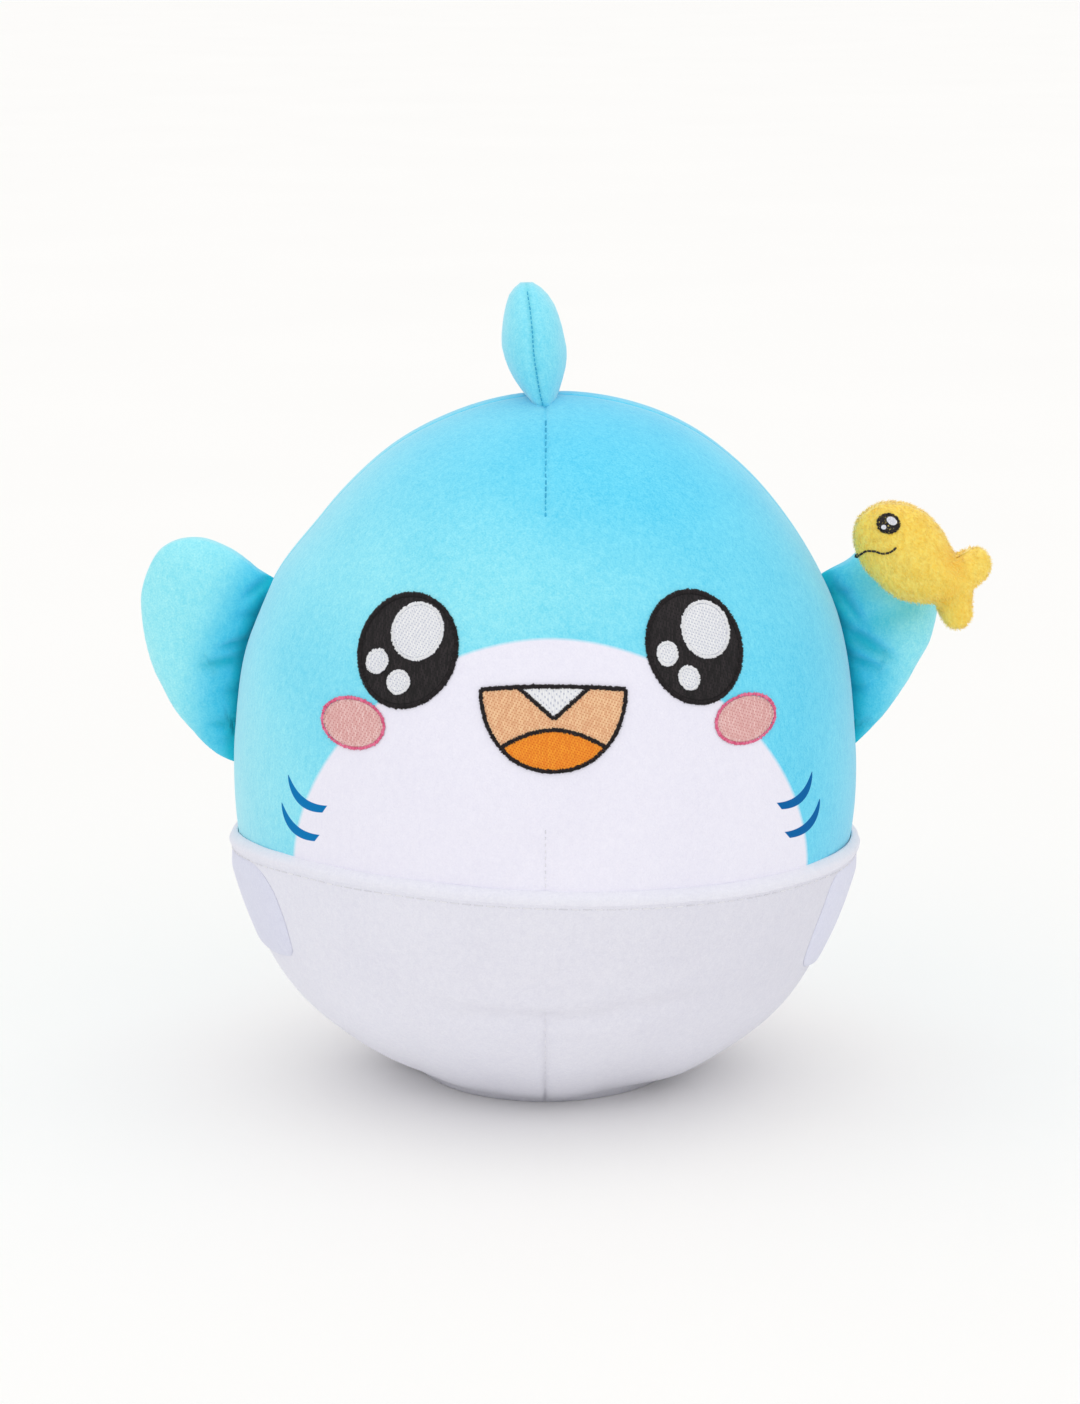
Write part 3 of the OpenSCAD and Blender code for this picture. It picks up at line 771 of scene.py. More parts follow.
def stuffed(name, outline, middle, half_thick, segments, rings):
    """A ball primitive flattened to an outline: its equator is the seam, its poles the panels' middles.

    It comes out with its thickness along Y, and its outline's two axes along X and Z."""
    piece = new_piece(name, bpy.ops.mesh.primitive_uv_sphere_add, segments=segments, ring_count=rings,
                      radius=1)
    ball = points_of(piece)
    angle = np.arctan2(ball[:, 1], ball[:, 0])
    share = np.clip(np.hypot(ball[:, 0], ball[:, 1]), 0, 1)
    side = np.sign(np.where(np.abs(ball[:, 2]) < 1e-5, 0, ball[:, 2]))
    far = reach(outline, middle, angle) * share
    across = middle[0] + far * np.cos(angle)
    up = middle[1] + far * np.sin(angle)
    thick = half_thick * stuffed_height(outline)(across, up)
    near_seam = np.exp(-(((1 - share) / 0.012) ** 2))
    seam_pull = 0.5 * MM * near_seam / np.maximum(far, 1e-6)
    across, up = across - (across - middle[0]) * seam_pull, up - (up - middle[1]) * seam_pull
    put_points(piece, np.stack([across, side * thick, up], axis=1))
    return piece


def crease(piece, folds, root=None):
    """Presses creases into a stuffed piece: each is a start and an end across and up, a width and a depth.

    root gives each point's distance from a sewn root. Painted shade darkens the creases and the cloth beside
    the root."""
    points = points_of(piece)
    painted_shade = np.zeros(len(points))
    for start, end, width, depth in folds:
        share = fold(points[:, 0], points[:, 2], start, end, width)
        ridge = fold(points[:, 0], points[:, 2], start, end, 2.6 * width) - share
        press = np.minimum((share - 0.35 * ridge) * depth, np.abs(points[:, 1]) * 0.8)
        points[:, 1] -= np.sign(points[:, 1]) * press
        # Painted shade in the crease, and beside the root below.
        painted_shade = np.maximum(painted_shade, 0.75 * share * min(1, depth / (2 * MM)))
    if root is not None:
        ragged = 1 + 0.45 * lumps(points, 9 * MM, 2.2)
        painted_shade = np.maximum(painted_shade, 0.85 * np.exp(-((root(points) / (4.6 * MM * ragged)) ** 2)))
        painted_shade = np.maximum(painted_shade, 0.3 * np.exp(-((root(points) / (14 * MM * ragged)) ** 2)))
    put_points(piece, points)
    mark(piece, "painted_shade", painted_shade)


def uneven(piece, amount, size, seed):
    """Lets the filling show as a faint unevenness, along each point's own normal."""
    points = points_of(piece)
    normals = np.empty(len(points) * 3)
    piece.data.vertices.foreach_get("normal", normals)
    put_points(piece, points + normals.reshape(-1, 3) * amount * lumps(points, size, seed)[:, None])


def moved(piece, matrix):
    piece.data.transform(matrix)
    piece.data.update()
    in_edit_mode(piece, face_outwards)
    return piece


# %% [markdown]
# A side fin is a leaf with one big lobe, set in the side seam. Its root is gathered, so the cloth puffs out
# beside it and short puckers run in from the seam. The root follows the ball's outline, a little inside it,
# so no gap opens between them.

# %% Side fins
FIN_Y = 5 * MM
FIN_ROOT_SUNK = 1.5 * MM
fin_box_low, fin_box_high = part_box("fin_left_filling")
FIN_HALF = (fin_box_high[1] - fin_box_low[1]) / 2 + 1.4 * MM
LEFT_FIN_EDGE = [
    (-106.0, 190.6), (-110.6, 194.2), (-117.5, 198.9), (-125.0, 202.1), (-132.5, 202.9), (-139.9, 201.0),
    (-145.5, 196.0), (-149.4, 186.6), (-150.6, 175.4), (-149.3, 164.3), (-145.8, 151.5), (-139.2, 138.8),
    (-131.4, 128.0), (-121.8, 119.4),
]
RIGHT_FIN_EDGE = [
    (111.5, 193.8), (117.0, 198.8), (123.5, 202.3), (131.0, 203.2), (138.0, 201.3), (143.0, 196.4),
    (146.0, 187.6), (146.2, 176.4), (144.0, 165.5), (140.6, 158.0), (135.0, 147.6), (127.4, 136.4),
    (117.8, 125.2),
]


def fin_outline(edge, side, heights):
    root = []
    for height in np.array(heights) * MM:
        radius = ball_radius(height)
        lean = ball_lean(height) + side_swell(side * radius, height)
        root.append((side * (radius - FIN_ROOT_SUNK) + lean, height))
    return rounded([*in_mm(edge), *root], 8)


def off_ball(points):
    """How far out from the ball's side seam each point is."""
    height = np.clip(points[:, 2], 118 * MM, 200 * MM)
    radius = ball_radius(height)
    swell = side_swell(np.sign(points[:, 0]) * radius, height)
    return np.abs(points[:, 0] - ball_lean(height) - swell) - radius - 0.5 * MM


def side_fin(name, edge, side, heights, folds, seed):
    fin = stuffed(name, fin_outline(edge, side, heights), (side * 127 * MM, 164 * MM), FIN_HALF, 200, 56)
    crease(fin, folds, off_ball)
    # Painted light: the fin is drawn paler away from its root, the left fin more than the right.
    mark(fin, "painted_light", (1.0 if side < 0 else 0.85) * smooth_step(4 * MM, 24 * MM, off_ball(points_of(fin))))
    uneven(fin, 0.6 * MM, 14 * MM, seed)
    return moved(fin, Matrix.Translation((0, FIN_Y, 0)))


def fold_mm(x0, z0, x1, z1, width, depth):
    return (x0 * MM, z0 * MM), (x1 * MM, z1 * MM), 1.15 * width * MM, 0.65 * depth * MM


# Each side fin: its side, its free edge, the heights of its root, its creases, and its filling's seed
SIDE_FINS = {
    "left": (-1, LEFT_FIN_EDGE, [117, 126, 136, 146, 156, 166, 176, 183, 187], [
        fold_mm(-99, 190, -113, 180, 1.9, 3.0), fold_mm(-100, 166, -123, 162.5, 2.0, 3.8),
        fold_mm(-102, 159, -131, 156, 2.6, 3.4), fold_mm(-106, 134.5, -127, 132.5, 2.0, 3.6),
        fold_mm(-108, 128.5, -124, 125.5, 1.8, 2.4), fold_mm(-102, 147, -121, 145.5, 2.2, 2.2),
        fold_mm(-99, 173, -117, 175, 1.8, 2.2),
    ], 5.0),
    "right": (1, RIGHT_FIN_EDGE, [123, 130, 138, 147, 156, 166, 176, 184, 188.5], [
        fold_mm(102, 192, 119, 170, 2.4, 3.6), fold_mm(104, 173, 131, 158, 2.6, 4.0),
        fold_mm(104, 161, 127, 154, 2.2, 3.2), fold_mm(108, 133, 124, 132, 1.9, 3.0),
        fold_mm(104, 146, 121, 147, 2.0, 2.4), fold_mm(102, 181, 115, 184, 1.8, 2.4),
        fold_mm(112, 168, 140, 180, 5.0, 1.6),
    ], 9.0),
}
for word, (side, edge, heights, creases, seed) in SIDE_FINS.items():
    fin = side_fin(f"fin_{word}", edge, side, heights, creases, seed)
    fin_bend = ("body", f"{word}_fin", (side * 0.1154, 0.005, 0.152), (side * 0.1301, 0.005, 0.1551))
    nodes = [f"fin_{word}_{part}" for part in ("front_cover", "back_cover", "filling")]
    finish_piece(fin, blue_pile, fin_bend, *nodes)

# %% [markdown]
# ## The top fin and the tail
# The top fin is a plump leaf that stands on the crown and leans a little to one side. Its seam runs round its
# edge, so from the front it is a line down the middle. Its thickness at each height was measured from the
# front. The tail is made the same way, with two lobes. Both have their thickness across the toy, so the flat
# outline is turned a quarter before it is placed.

# %% Top fin and tail
TOP_FIN_EDGE = [
    (-18, 253), (-21.0, 259), (-21.5, 267), (-19.5, 276), (-14.0, 285.5), (-6.0, 293.0), (3.0, 297.2),
    (11.5, 296.6), (17.0, 291.0), (19.5, 281), (23.5, 270), (31, 259.5), (37.5, 250.0), (33, 245.5),
    (20, 249.5), (4, 252.0), (-9, 252.0),
]
QUARTER_TURN = Matrix.Rotation(math.radians(90), 4, "Z")
# The top fin from the front, in millimetres: a height, its half thickness, and how far its middle leans
TOP_FIN_FRONT = np.array([
    (246.0, 4.0, 0.2), (252.0, 4.3, 0.0), (255.0, 5.2, -0.8), (258.8, 7.2, -1.7), (262.5, 9.0, -2.4),
    (266.3, 10.4, -3.0), (270.0, 11.3, -3.6), (273.8, 11.8, -4.1), (277.5, 11.5, -4.4), (281.3, 10.9, -4.6),
    (285.0, 10.1, -5.0), (288.8, 9.0, -5.4), (292.5, 7.2, -6.1), (295.0, 5.0, -6.5), (297.2, 2.0, -6.9),
]) * MM


def standing_leaf(name, edge, middle, half, seed, front=None):
    """A stuffed leaf that stands across the toy's middle. front gives its measured look from the front."""
    outline = rounded(in_mm(edge), 8)
    leaf = stuffed(name, outline, (middle[0] * MM, middle[1] * MM), half, 180, 60)
    points = points_of(leaf)
    seam_share = np.abs(points[:, 1]) / half
    if front is not None:
        levels = np.linspace(outline[:, 1].min(), outline[:, 1].max(), 120)
        form = stuffed_height(outline)
        widths = np.linspace(outline[:, 0].min(), outline[:, 0].max(), 120)
        peaks = form(*np.meshgrid(widths, levels, indexing="ij")).max(axis=0)
        peak = np.maximum(np.interp(points[:, 2], levels, peaks), 0.08)
        seam_share = np.clip(np.abs(points[:, 1]) / half / peak, 0, 1)
        points[:, 1] = np.sign(points[:, 1]) * seam_share * np.interp(points[:, 2], front[:, 0], front[:, 1])
        put_points(leaf, points)
    uneven(leaf, 0.35 * MM, 12 * MM, seed)
    # Painted shade along the seam, and painted light over the whole leaf.
    mark(leaf, "painted_shade", 0.25 * (1 - smooth_step(0.0, 0.12, seam_share)))
    mark(leaf, "painted_light", np.full(len(points), 0.6))
    moved(leaf, QUARTER_TURN)
    if front is not None:
        points = points_of(leaf)
        points[:, 0] += np.interp(points[:, 2], front[:, 0], front[:, 2])
        put_points(leaf, points)
    return leaf


top_fin = standing_leaf("fin_top", TOP_FIN_EDGE, (4, 272), 12 * MM, 14.0, TOP_FIN_FRONT)
top_bend = ("body", "top_fin", (0, 0.012, 0.256), (0, 0.012, 0.270))
finish_piece(top_fin, blue_pile, top_bend, "top_fin_left_cover", "top_fin_right_cover", "top_fin_filling")

TAIL_EDGE = [
    (111.5, 131), (118.5, 130), (127, 127.5), (136, 125.5), (142.5, 127.5), (144.5, 133), (142.5, 140.5),
    (141.0, 147), (143.5, 153.5), (149.5, 161), (156.0, 168.5), (157.0, 174.5), (152.0, 177.5), (143, 175.5),
    (132, 170.5), (121, 166.5), (110.5, 165), (111.0, 148),
]
tail = standing_leaf("tail", TAIL_EDGE, (130, 150), 9.5 * MM, 21.0)
tail_bend = ("body", "tail", (0, 0.116, 0.148), (0, 0.130, 0.1506))
finish_piece(tail, blue_pile, tail_bend, "tail_left_cover", "tail_right_cover", "tail_filling")

# %% [markdown]
# ## The little fish
# The fish is the same kind of piece in a longer pile. It is sewn by its lower side to the front of the right
# fin, so it moves with that fin and swings a little on its stitches. Its pile is fuzzy, so short tufts stand
# on its cloth: one tuft of two faces is modelled, and copied all over it, each lying a little differently.

# %% The fish's body
FISH_MIDDLE = np.array([129.0, -19.5, 203.3]) * MM
FISH_EDGE = [
    (-16.9, 3.5), (-15.3, 10.6), (-10.0, 15.2), (-4.8, 16.6), (3.2, 15.7), (10.1, 12.2), (15.4, 6.2),
    (18.5, 1.3),
    (21.2, -2.8), (24.4, -1.4), (29.1, -0.2), (32.3, -2.0), (34.2, -6.3), (32.3, -11.2), (27.6, -15.1),
    (27.0, -20.0), (27.3, -24.9), (25.4, -29.2), (21.7, -30.7), (18.0, -29.2), (14.8, -23.8), (13.3, -21.1),
    (8.5, -20.8), (2.1, -19.7), (-3.7, -16.7), (-9.0, -11.8), (-13.2, -7.4), (-15.9, -2.0),
]
FISH_HALF = 11.4 * MM
fish_outline = rounded(in_mm(FISH_EDGE), 5)
fish_form = stuffed_height(fish_outline)
fish_body = stuffed("fish_body", fish_outline, (12 * MM, -9 * MM), FISH_HALF, 176, 40)
crease(fish_body, [fold_mm(15, 3, 25, -13, 3.0, 1.6), fold_mm(10, -26, 23, -11, 3.0, 1.6)])
uneven(fish_body, 0.3 * MM, 10 * MM, 31.0)
moved(fish_body, Matrix.Translation(FISH_MIDDLE))
finish_piece(fish_body, yellow_pile, "fish", "fish_front_cover", "fish_back_cover", "fish_filling")


# %% The fish's tufts
FISH_TUFTS = 12000
TUFT_LIE = np.array([0.55, 0, -0.75])
TUFT_SCATTER = 0.45
TUFT_SWIRL = 0.5
TUFT_LENGTH = (1.2, 2.1)
TUFT_WIDTH = 0.34
TUFT_SUNK = 0.25
TUFT_TAPER = 0.8
tuft_rng = np.random.default_rng(11)
fish_mesh = fish_body.data
fish_areas = np.array([face.area for face in fish_mesh.polygons])
picked = tuft_rng.choice(len(fish_areas), FISH_TUFTS, p=fish_areas / fish_areas.sum())
tuft_feet, tuft_normals = [], []
for index in picked:
    face = fish_mesh.polygons[index]
    corners = np.array([fish_mesh.vertices[v].co for v in face.vertices])
    weights = tuft_rng.dirichlet(np.ones(len(corners)))
    tuft_feet.append(weights @ corners)
    tuft_normals.append(face.normal)
tuft_feet, tuft_normals = np.array(tuft_feet), np.array(tuft_normals)
lie = TUFT_LIE + TUFT_SCATTER * tuft_rng.normal(size=(FISH_TUFTS, 3))
lie += TUFT_SWIRL * np.stack([lumps(tuft_feet, 7 * MM, seed) for seed in (1.5, 4.5, 8.5)], axis=1)
lie -= tuft_normals * (lie * tuft_normals).sum(axis=1, keepdims=True)
lie /= np.linalg.norm(lie, axis=1, keepdims=True)
tuft_run = (lie * 0.9 + tuft_normals * 0.5) * (tuft_rng.uniform(*TUFT_LENGTH, (FISH_TUFTS, 1)) * MM)
tuft_side = np.cross(tuft_normals, lie) * TUFT_WIDTH * MM
fish_tufts = new_piece("fish_tufts", bpy.ops.mesh.primitive_grid_add, x_subdivisions=2, y_subdivisions=1,
                       size=1)
blade = points_of(fish_tufts)
copied(fish_tufts, FISH_TUFTS)
blade_share = blade[:, 0] + 0.5
blade_side = blade[:, 1] * (1 - TUFT_TAPER * blade_share)
tuft_roots = tuft_feet[:, None] - tuft_normals[:, None] * TUFT_SUNK * MM
tuft_points = (tuft_roots + tuft_run[:, None] * blade_share[None, :, None]
               + tuft_side[:, None] * blade_side[None, :, None])
put_points(fish_tufts, tuft_points.reshape(-1, 3))
# Each tuft is a little darker at random, and painted shade darkens it towards its root.
tuft_shade = np.repeat(tuft_rng.uniform(0, 0.06, FISH_TUFTS), len(blade))
mark(fish_tufts, "painted_shade", tuft_shade + np.tile(0.04 * (1 - blade_share), FISH_TUFTS))
finish_piece(fish_tufts, yellow_pile, "fish")


def on_fish(across, up, lift=0.0):
    """Points on the front of the fish, given from the fish's own middle."""
    deep = -FISH_HALF * fish_form(across, up) - lift
    return FISH_MIDDLE + np.stack([np.asarray(across, float), deep, np.asarray(up, float)], axis=-1)


# %% [markdown]
# ## The nappy
# The nappy is a white knit cup in two panels, front and back, with a rolled hem round its rim. It hugs the
# ball, so it is drawn from the ball's own shape with a little room, a flare near the rim, and soft creases
# where the panel's bottom dart ends. The cloth's real thickness is added inwards.

# %% Nappy panels
RIM_TURNS = [-180, -120, -90, -75, -51, -26, 0, 30, 56, 75, 90, 120, 180]
RIM_HEIGHTS = [95, 94, 93.5, 97, 100.5, 100.5, 98.5, 96.5, 95, 94, 92.5, 93.5, 95]
NAPPY_THICK = 1.6 * MM
NAPPY_OUT = 2.3 * MM
DART_TOP = 52 * MM
# The soft folds in front, in millimetres: how deep, where each starts and ends, and its width
NAPPY_FOLDS = [
    (1.5, (-50, 50), (30, 48), 4.0), (-1.0, (-46, 57), (28, 55), 4.2), (0.8, (-16, 52), (12, 74), 3.0),
    (1.3, (4, 50), (64, 54), 4.2), (-1.0, (8, 57), (66, 61), 4.6), (0.9, (-84, 64), (-44, 74), 4.5),
]


def rim_height(around):
    turns = np.degrees((around + math.pi) % (2 * math.pi) - math.pi)
    soft = [np.interp(turns + shift, RIM_TURNS, RIM_HEIGHTS, period=360) for shift in (-9, -4, 0, 4, 9)]
    return np.mean(soft, axis=0) * MM


def nappy_out(around, height):
    """How far the nappy's outside stands off the plain ball."""
    across = BALL_R * np.sin(around)
    front = np.cos(around) > 0
    below_rim = rim_height(around) - height
    flare = (0.1 + 1.0 * np.abs(np.sin(around)) ** 4) * MM * np.exp(-((below_rim / (16 * MM)) ** 2))
    dart = np.where(height < DART_TOP, 1, 0) * seam_dip(across, 0.7 * MM, 0.8 * MM, 4 * MM, 0.4 * MM)
    tuck = np.where(front, 1, 0) * sum(
        deep * MM * fold(across, height, in_mm(start), in_mm(end), width * MM)
        for deep, start, end, width in NAPPY_FOLDS)
    side_seam = seam_dip(BALL_R * np.cos(around), 0.8 * MM, 0.7 * MM, 4 * MM, 0.3 * MM)
    points = round_the_ball(around, ball_radius(height), height)
    loose = 0.8 * MM * lumps(points, 30 * MM, 7.7) * smooth_step(5 * MM, 40 * MM, height)
    return NAPPY_OUT + flare - dart - tuck - side_seam + loose - underside_press(points)


def nappy_surface(around, height, lift=0.0):
    """Points on the nappy's outside, or at a height above it."""
    plain = round_the_ball(around, ball_radius(height), height)
    return plain + ball_normal(plain) * (nappy_out(around, height) + lift)[..., None]


def nappy_painted_light(points):
    """Painted light: how much paler the knit is drawn, more on the lit left and low down."""
    across, height = points[:, 0] / (100 * MM), points[:, 2]
    return 0.35 - 0.3 * across + 0.5 * (1 - smooth_step(18 * MM, 62 * MM, height))


def place_nappy(around, up, out):
    """From the middle of the seat to just under the rim. The part on the seat lies flat."""
    turn = SEAT_TURN + (ball_turn(rim_height(around) - 1.5 * MM) - SEAT_TURN) * up
    points = nappy_surface(around, ball_profile(turn)[1])
    points[:, :2] *= out[:, None]
    points[:, 2] = np.maximum(np.where(out < 1, points[:, 2].min(), points[:, 2]), 0.05 * MM)
    return points


for word, turns in (("front", (-90, 90)), ("back", (90, 270))):
    panel = wrapped_panel(f"nappy_{word}_panel", turns, (190, 120), 0.18, place_nappy, NAPPY_THICK,
                          nappy_painted_light)
    finish_piece(panel, white_knit, "nappy", f"nappy_{word}")
    cloth_area = sum(face.area for face in panel.data.polygons) / 2
    print(panel.name, "cloth area", round(cloth_area, 4), "square metres")

# %% [markdown]
# ## The rolled hem
# The rim is turned over and topstitched, so it stands out as a soft cord of cloth a few millimetres wide. It
# is a ring primitive bent along the rim, slightly uneven, because a hem rolls more in some places than in
# others.

# %% Hem
hem = new_piece("nappy_hem_roll", bpy.ops.mesh.primitive_torus_add, major_segments=360, minor_segments=20,
                major_radius=1, minor_radius=0.25)
ring = points_of(hem)
hem_around = np.arctan2(ring[:, 0], -ring[:, 1])
hem_side = (np.hypot(ring[:, 0], ring[:, 1]) - 1) / 0.25
hem_up = ring[:, 2] / 0.25
hem_wave = lumps(np.stack([np.cos(hem_around), np.sin(hem_around), 0 * hem_around], axis=1), 0.22, 4.4)
hem_height = rim_height(hem_around) - 2.3 * MM
hem_half_up = (2.5 + 0.3 * hem_wave) * MM
hem_half_out = (1.75 + 0.12 * hem_wave) * MM
hem_top = np.clip(hem_up, 0, 1)
hem_sunk = (1.1 + 1.3 * hem_top**2) * MM
hem_out = nappy_out(hem_around, hem_height) - hem_sunk + hem_side * hem_half_out * (1 - 0.3 * hem_top)
hem_plain = round_the_ball(hem_around, ball_radius(hem_height), hem_height)
hem_points = hem_plain + ball_normal(hem_plain) * hem_out[:, None]
hem_points[:, 2] += hem_up * hem_half_up
put_points(hem, hem_points)
# Painted light: the hem is drawn paler.
mark(hem, "painted_light", np.full(len(hem_points), 0.75))
in_edit_mode(hem, face_outwards)
finish_piece(hem, white_knit, "nappy", "nappy_hem")

# %% [markdown]
# ## The side tabs
# Each side has a tab of the same cloth, sewn to the back panel and folded forwards over the front one, where
# hooks under it hold to loops on the nappy. All of them are thin pads, each with its outline and two heights
# above the nappy, so one helper makes them: a ball primitive whose upper half becomes the top and lower half
# the underside.

# %% Thin pads on a surface


def pad(name, outline, middle, low, high, surface, segments=96, rings=20, edge=0.12):
    """A closed thin pad: its outline and middle are given flat, and surface places them at two heights."""
    piece = new_piece(name, bpy.ops.mesh.primitive_uv_sphere_add, segments=segments, ring_count=rings,
                      radius=1)
    ball = points_of(piece)
    angle = np.arctan2(ball[:, 1], ball[:, 0])
    share = np.sin(np.arccos(np.clip(np.abs(ball[:, 2]), 0, 1)))
    share = np.where(np.abs(ball[:, 2]) < 1e-5, 1, share)
    far = reach(outline, middle, angle) * share
    across, up = middle[0] + far * np.cos(angle), middle[1] + far * np.sin(angle)
    body = np.clip((1 - share) / edge, 0, 1) ** 0.5
    half = (high - low) / 2
    lift = (low + high) / 2 + np.sign(np.round(ball[:, 2], 5)) * half * body
    put_points(piece, surface(across, up, lift))
    in_edit_mode(piece, face_outwards)
    return piece


# %% Tabs, hooks and loops
TAB_SEWN = 95
# Each tab's free front edge, from top to bottom: degrees round from the front, and a height in millimetres
TAB_FRONTS = {
    "left": [(66, 92.4), (62.9, 92.0), (60.4, 90.2), (58.3, 86.8), (57.0, 83), (55.9, 74.3), (56.3, 65.5),
             (57.2, 61.6), (60, 59.2)],
    "right": [(69, 88.9), (66.6, 88.8), (64.7, 87.4), (63.3, 84.2), (62.2, 77), (61.4, 67.7), (62.2, 58.5),
              (63.6, 54.4), (66.6, 51.8)],
}
TAB_TOPS = {"left": [(TAB_SEWN, 84.5), (91, 86.5), (84, 88.6), (75, 90.9)],
            "right": [(TAB_SEWN, 84), (91, 86), (86, 87), (78, 88.4)]}
TAB_LOWS = {"left": [(66, 58.6), (76, 58.4), (86, 58.2), (TAB_SEWN, 58.2), (TAB_SEWN, 75)],
            "right": [(72, 51.6), (80, 52.6), (88, 53.6), (TAB_SEWN, 55), (TAB_SEWN, 73)]}
tab_middle = (math.radians(78) * BALL_R, 71 * MM)
pad_low, pad_high = math.radians(72) * BALL_R, math.radians(84) * BALL_R
pad_outline = np.array([(pad_low, 61 * MM), (pad_high, 61 * MM), (pad_high, 84 * MM), (pad_low, 84 * MM)])
pad_middle = ((pad_low + pad_high) / 2, 72.5 * MM)


def tab_surface(word, side):
    """A place on the nappy's side. The free front edge lies down on the nappy, past its pads."""
    front = np.array(TAB_FRONTS[word])[::-1]
    top = np.array(TAB_FRONTS[word][:2][::-1] + TAB_TOPS[word][::-1])

    def place(across, up, lift):
        turn = np.asarray(across) / BALL_R
        from_front = turn - np.radians(np.interp(np.asarray(up) / MM, front[:, 1], front[:, 0]))
        under_top = np.interp(np.degrees(turn), top[:, 0], top[:, 1]) * MM - np.asarray(up)
        settle = np.maximum(1.0 * MM * (1 - smooth_step(0, math.radians(5), from_front)),
                            1.2 * MM * (1 - smooth_step(0, 6 * MM, under_top)))
        return nappy_surface(side * across / BALL_R, up, lift - settle)
    return place


for word, side in (("left", -1), ("right", 1)):
    surface = tab_surface(word, side)
    tab_outline = rounded(TAB_TOPS[word] + TAB_FRONTS[word] + TAB_LOWS[word], 6)
    tab_outline *= np.array([math.radians(1) * BALL_R, MM])
    loops = pad(f"loops_{word}", pad_outline, pad_middle, -0.3 * MM, 0.15 * MM, surface, 48, 8)
    hooks = pad(f"hooks_{word}", pad_outline, pad_middle, 0.2 * MM, 0.5 * MM, surface, 48, 8)
    tab = pad(f"tab_{word}_flap", tab_outline, tab_middle, 0.5 * MM, 1.6 * MM, surface, edge=0.05)
    finish_piece(loops, hook_tape, "nappy", f"tab_{word}_loops")
    finish_piece(hooks, hook_tape, f"{word}_tab", f"tab_{word}_hooks")
    tab_bend = ("nappy", f"{word}_tab", (side * 0.114, 0.0095, 0.0725), (side * 0.114, -0.003, 0.0725))
    finish_piece(tab, tab_knit_painted_shade, tab_bend, f"tab_{word}")

# %% [markdown]
# ## Embroidery
# The face is sewn, not printed, so it is made of stitches. One stitch is a low arched strip of eight faces. A
# fill lays long rows of them side by side, each row's ends shifted from its neighbour's. A satin edge lays
# short ones across a line. A running stitch follows a line with gaps. Under each motif lies its backing pad,
# so that the cloth doesn't show between the threads. Each stitch has a tone of its own, kept as an attribute
# of its points.

# %% Laying stitches: each is a row of start, end, height above the cloth, width, arch and tone
random.seed(7)
BRICKS = 5
SATIN_UNEVEN = 0.12 * MM


def along_path(path, step, closed):
    """Points and directions at even steps along a path."""
    path = np.array(path, float)
    if closed:
        path = np.vstack([path, path[:1]])
    run = np.hypot(*np.diff(path, axis=0).T)
    reached = np.concatenate([[0], np.cumsum(run)])
    count = max(2, int(round(reached[-1] / step)))
    wanted = (np.arange(count) + (0 if closed else 0.5)) * reached[-1] / count
    places = np.stack([np.interp(wanted, reached, path[:, k]) for k in (0, 1)], axis=1)
    ahead = np.stack([np.interp(wanted + 0.2 * MM, reached, path[:, k]) for k in (0, 1)], axis=1)
    behind = np.stack([np.interp(wanted - 0.2 * MM, reached, path[:, k]) for k in (0, 1)], axis=1)
    heading = ahead - behind
    return places, heading / np.maximum(np.hypot(*heading.T), 1e-9)[:, None]


def spans(outlines, across):
    """Where an upright line goes into and out of closed outlines."""
    hits = []
    for outline in outlines:
        after = np.roll(outline, -1, axis=0)
        crossed = (outline[:, 0] > across) != (after[:, 0] > across)
        a, b = outline[crossed], after[crossed]
        hits.extend(a[:, 1] + (across - a[:, 0]) * (b[:, 1] - a[:, 1]) / (b[:, 0] - a[:, 0]))
    return np.sort(hits)[: len(hits) // 2 * 2].reshape(-1, 2)


def fill_stitches(outlines, lift, length=2.4 * MM, pitch=0.5 * MM, arch=0.2 * MM, mid=0.8, spread=0.2):
    """Long rows side by side. A stitch's tone is mid, give or take spread."""
    rows = []
    low = min(outline[:, 0].min() for outline in outlines)
    high = max(outline[:, 0].max() for outline in outlines)
    for k, across in enumerate(np.arange(low + pitch / 2, high, pitch)):
        shift = (k * 2 % BRICKS + random.uniform(-0.25, 0.25)) / BRICKS * length
        column_tone = random.uniform(-0.1, 0.1)
        for bottom, top in spans(outlines, across):
            first = math.ceil((bottom + 0.5 * MM - shift) / length)
            cuts = [bottom, *np.arange(first * length + shift, top - 0.5 * MM, length), top]
            for a, b in zip(cuts, cuts[1:]):
                sway = random.gauss(0, 0.05 * MM)
                tone = mid + spread * (column_tone + random.uniform(-1, 1))
                rows.append((across + sway, a + 0.05 * MM, across - sway, b - 0.05 * MM,
                             lift, pitch * 1.1, arch, tone))
    return rows


def satin_stitches(path, width, lift, closed=True, pitch=0.42 * MM, arch=0.38 * MM, tone=(0.3, 1.0)):
    """Short stitches across a line. Their tones lie between the two given."""
    places, heading = along_path(path, pitch, closed)
    rows = []
    for (x, z), (dx, dz) in zip(places, heading):
        near = width / 2 + random.gauss(0, SATIN_UNEVEN)
        far = width / 2 + random.gauss(0, SATIN_UNEVEN)
        lean = random.gauss(0, 0.04 * MM)
        rows.append((x - dz * near - dx * lean, z + dx * near - dz * lean, x + dz * far + dx * lean,
                     z - dx * far + dz * lean, lift, pitch * 1.2, arch, random.uniform(*tone)))
    return rows


def running_stitches(path, length, gap, lift, width, arch):
    """Single stitches along a line, with gaps."""
    rows = []
    places, heading = along_path(path, length + gap, False)
    for (x, z), (dx, dz) in zip(places, heading * length / 2):
        rows.append((x - dx, z - dz, x + dx, z + dz, lift, width, arch, random.uniform(0.5, 1.0)))
    return rows


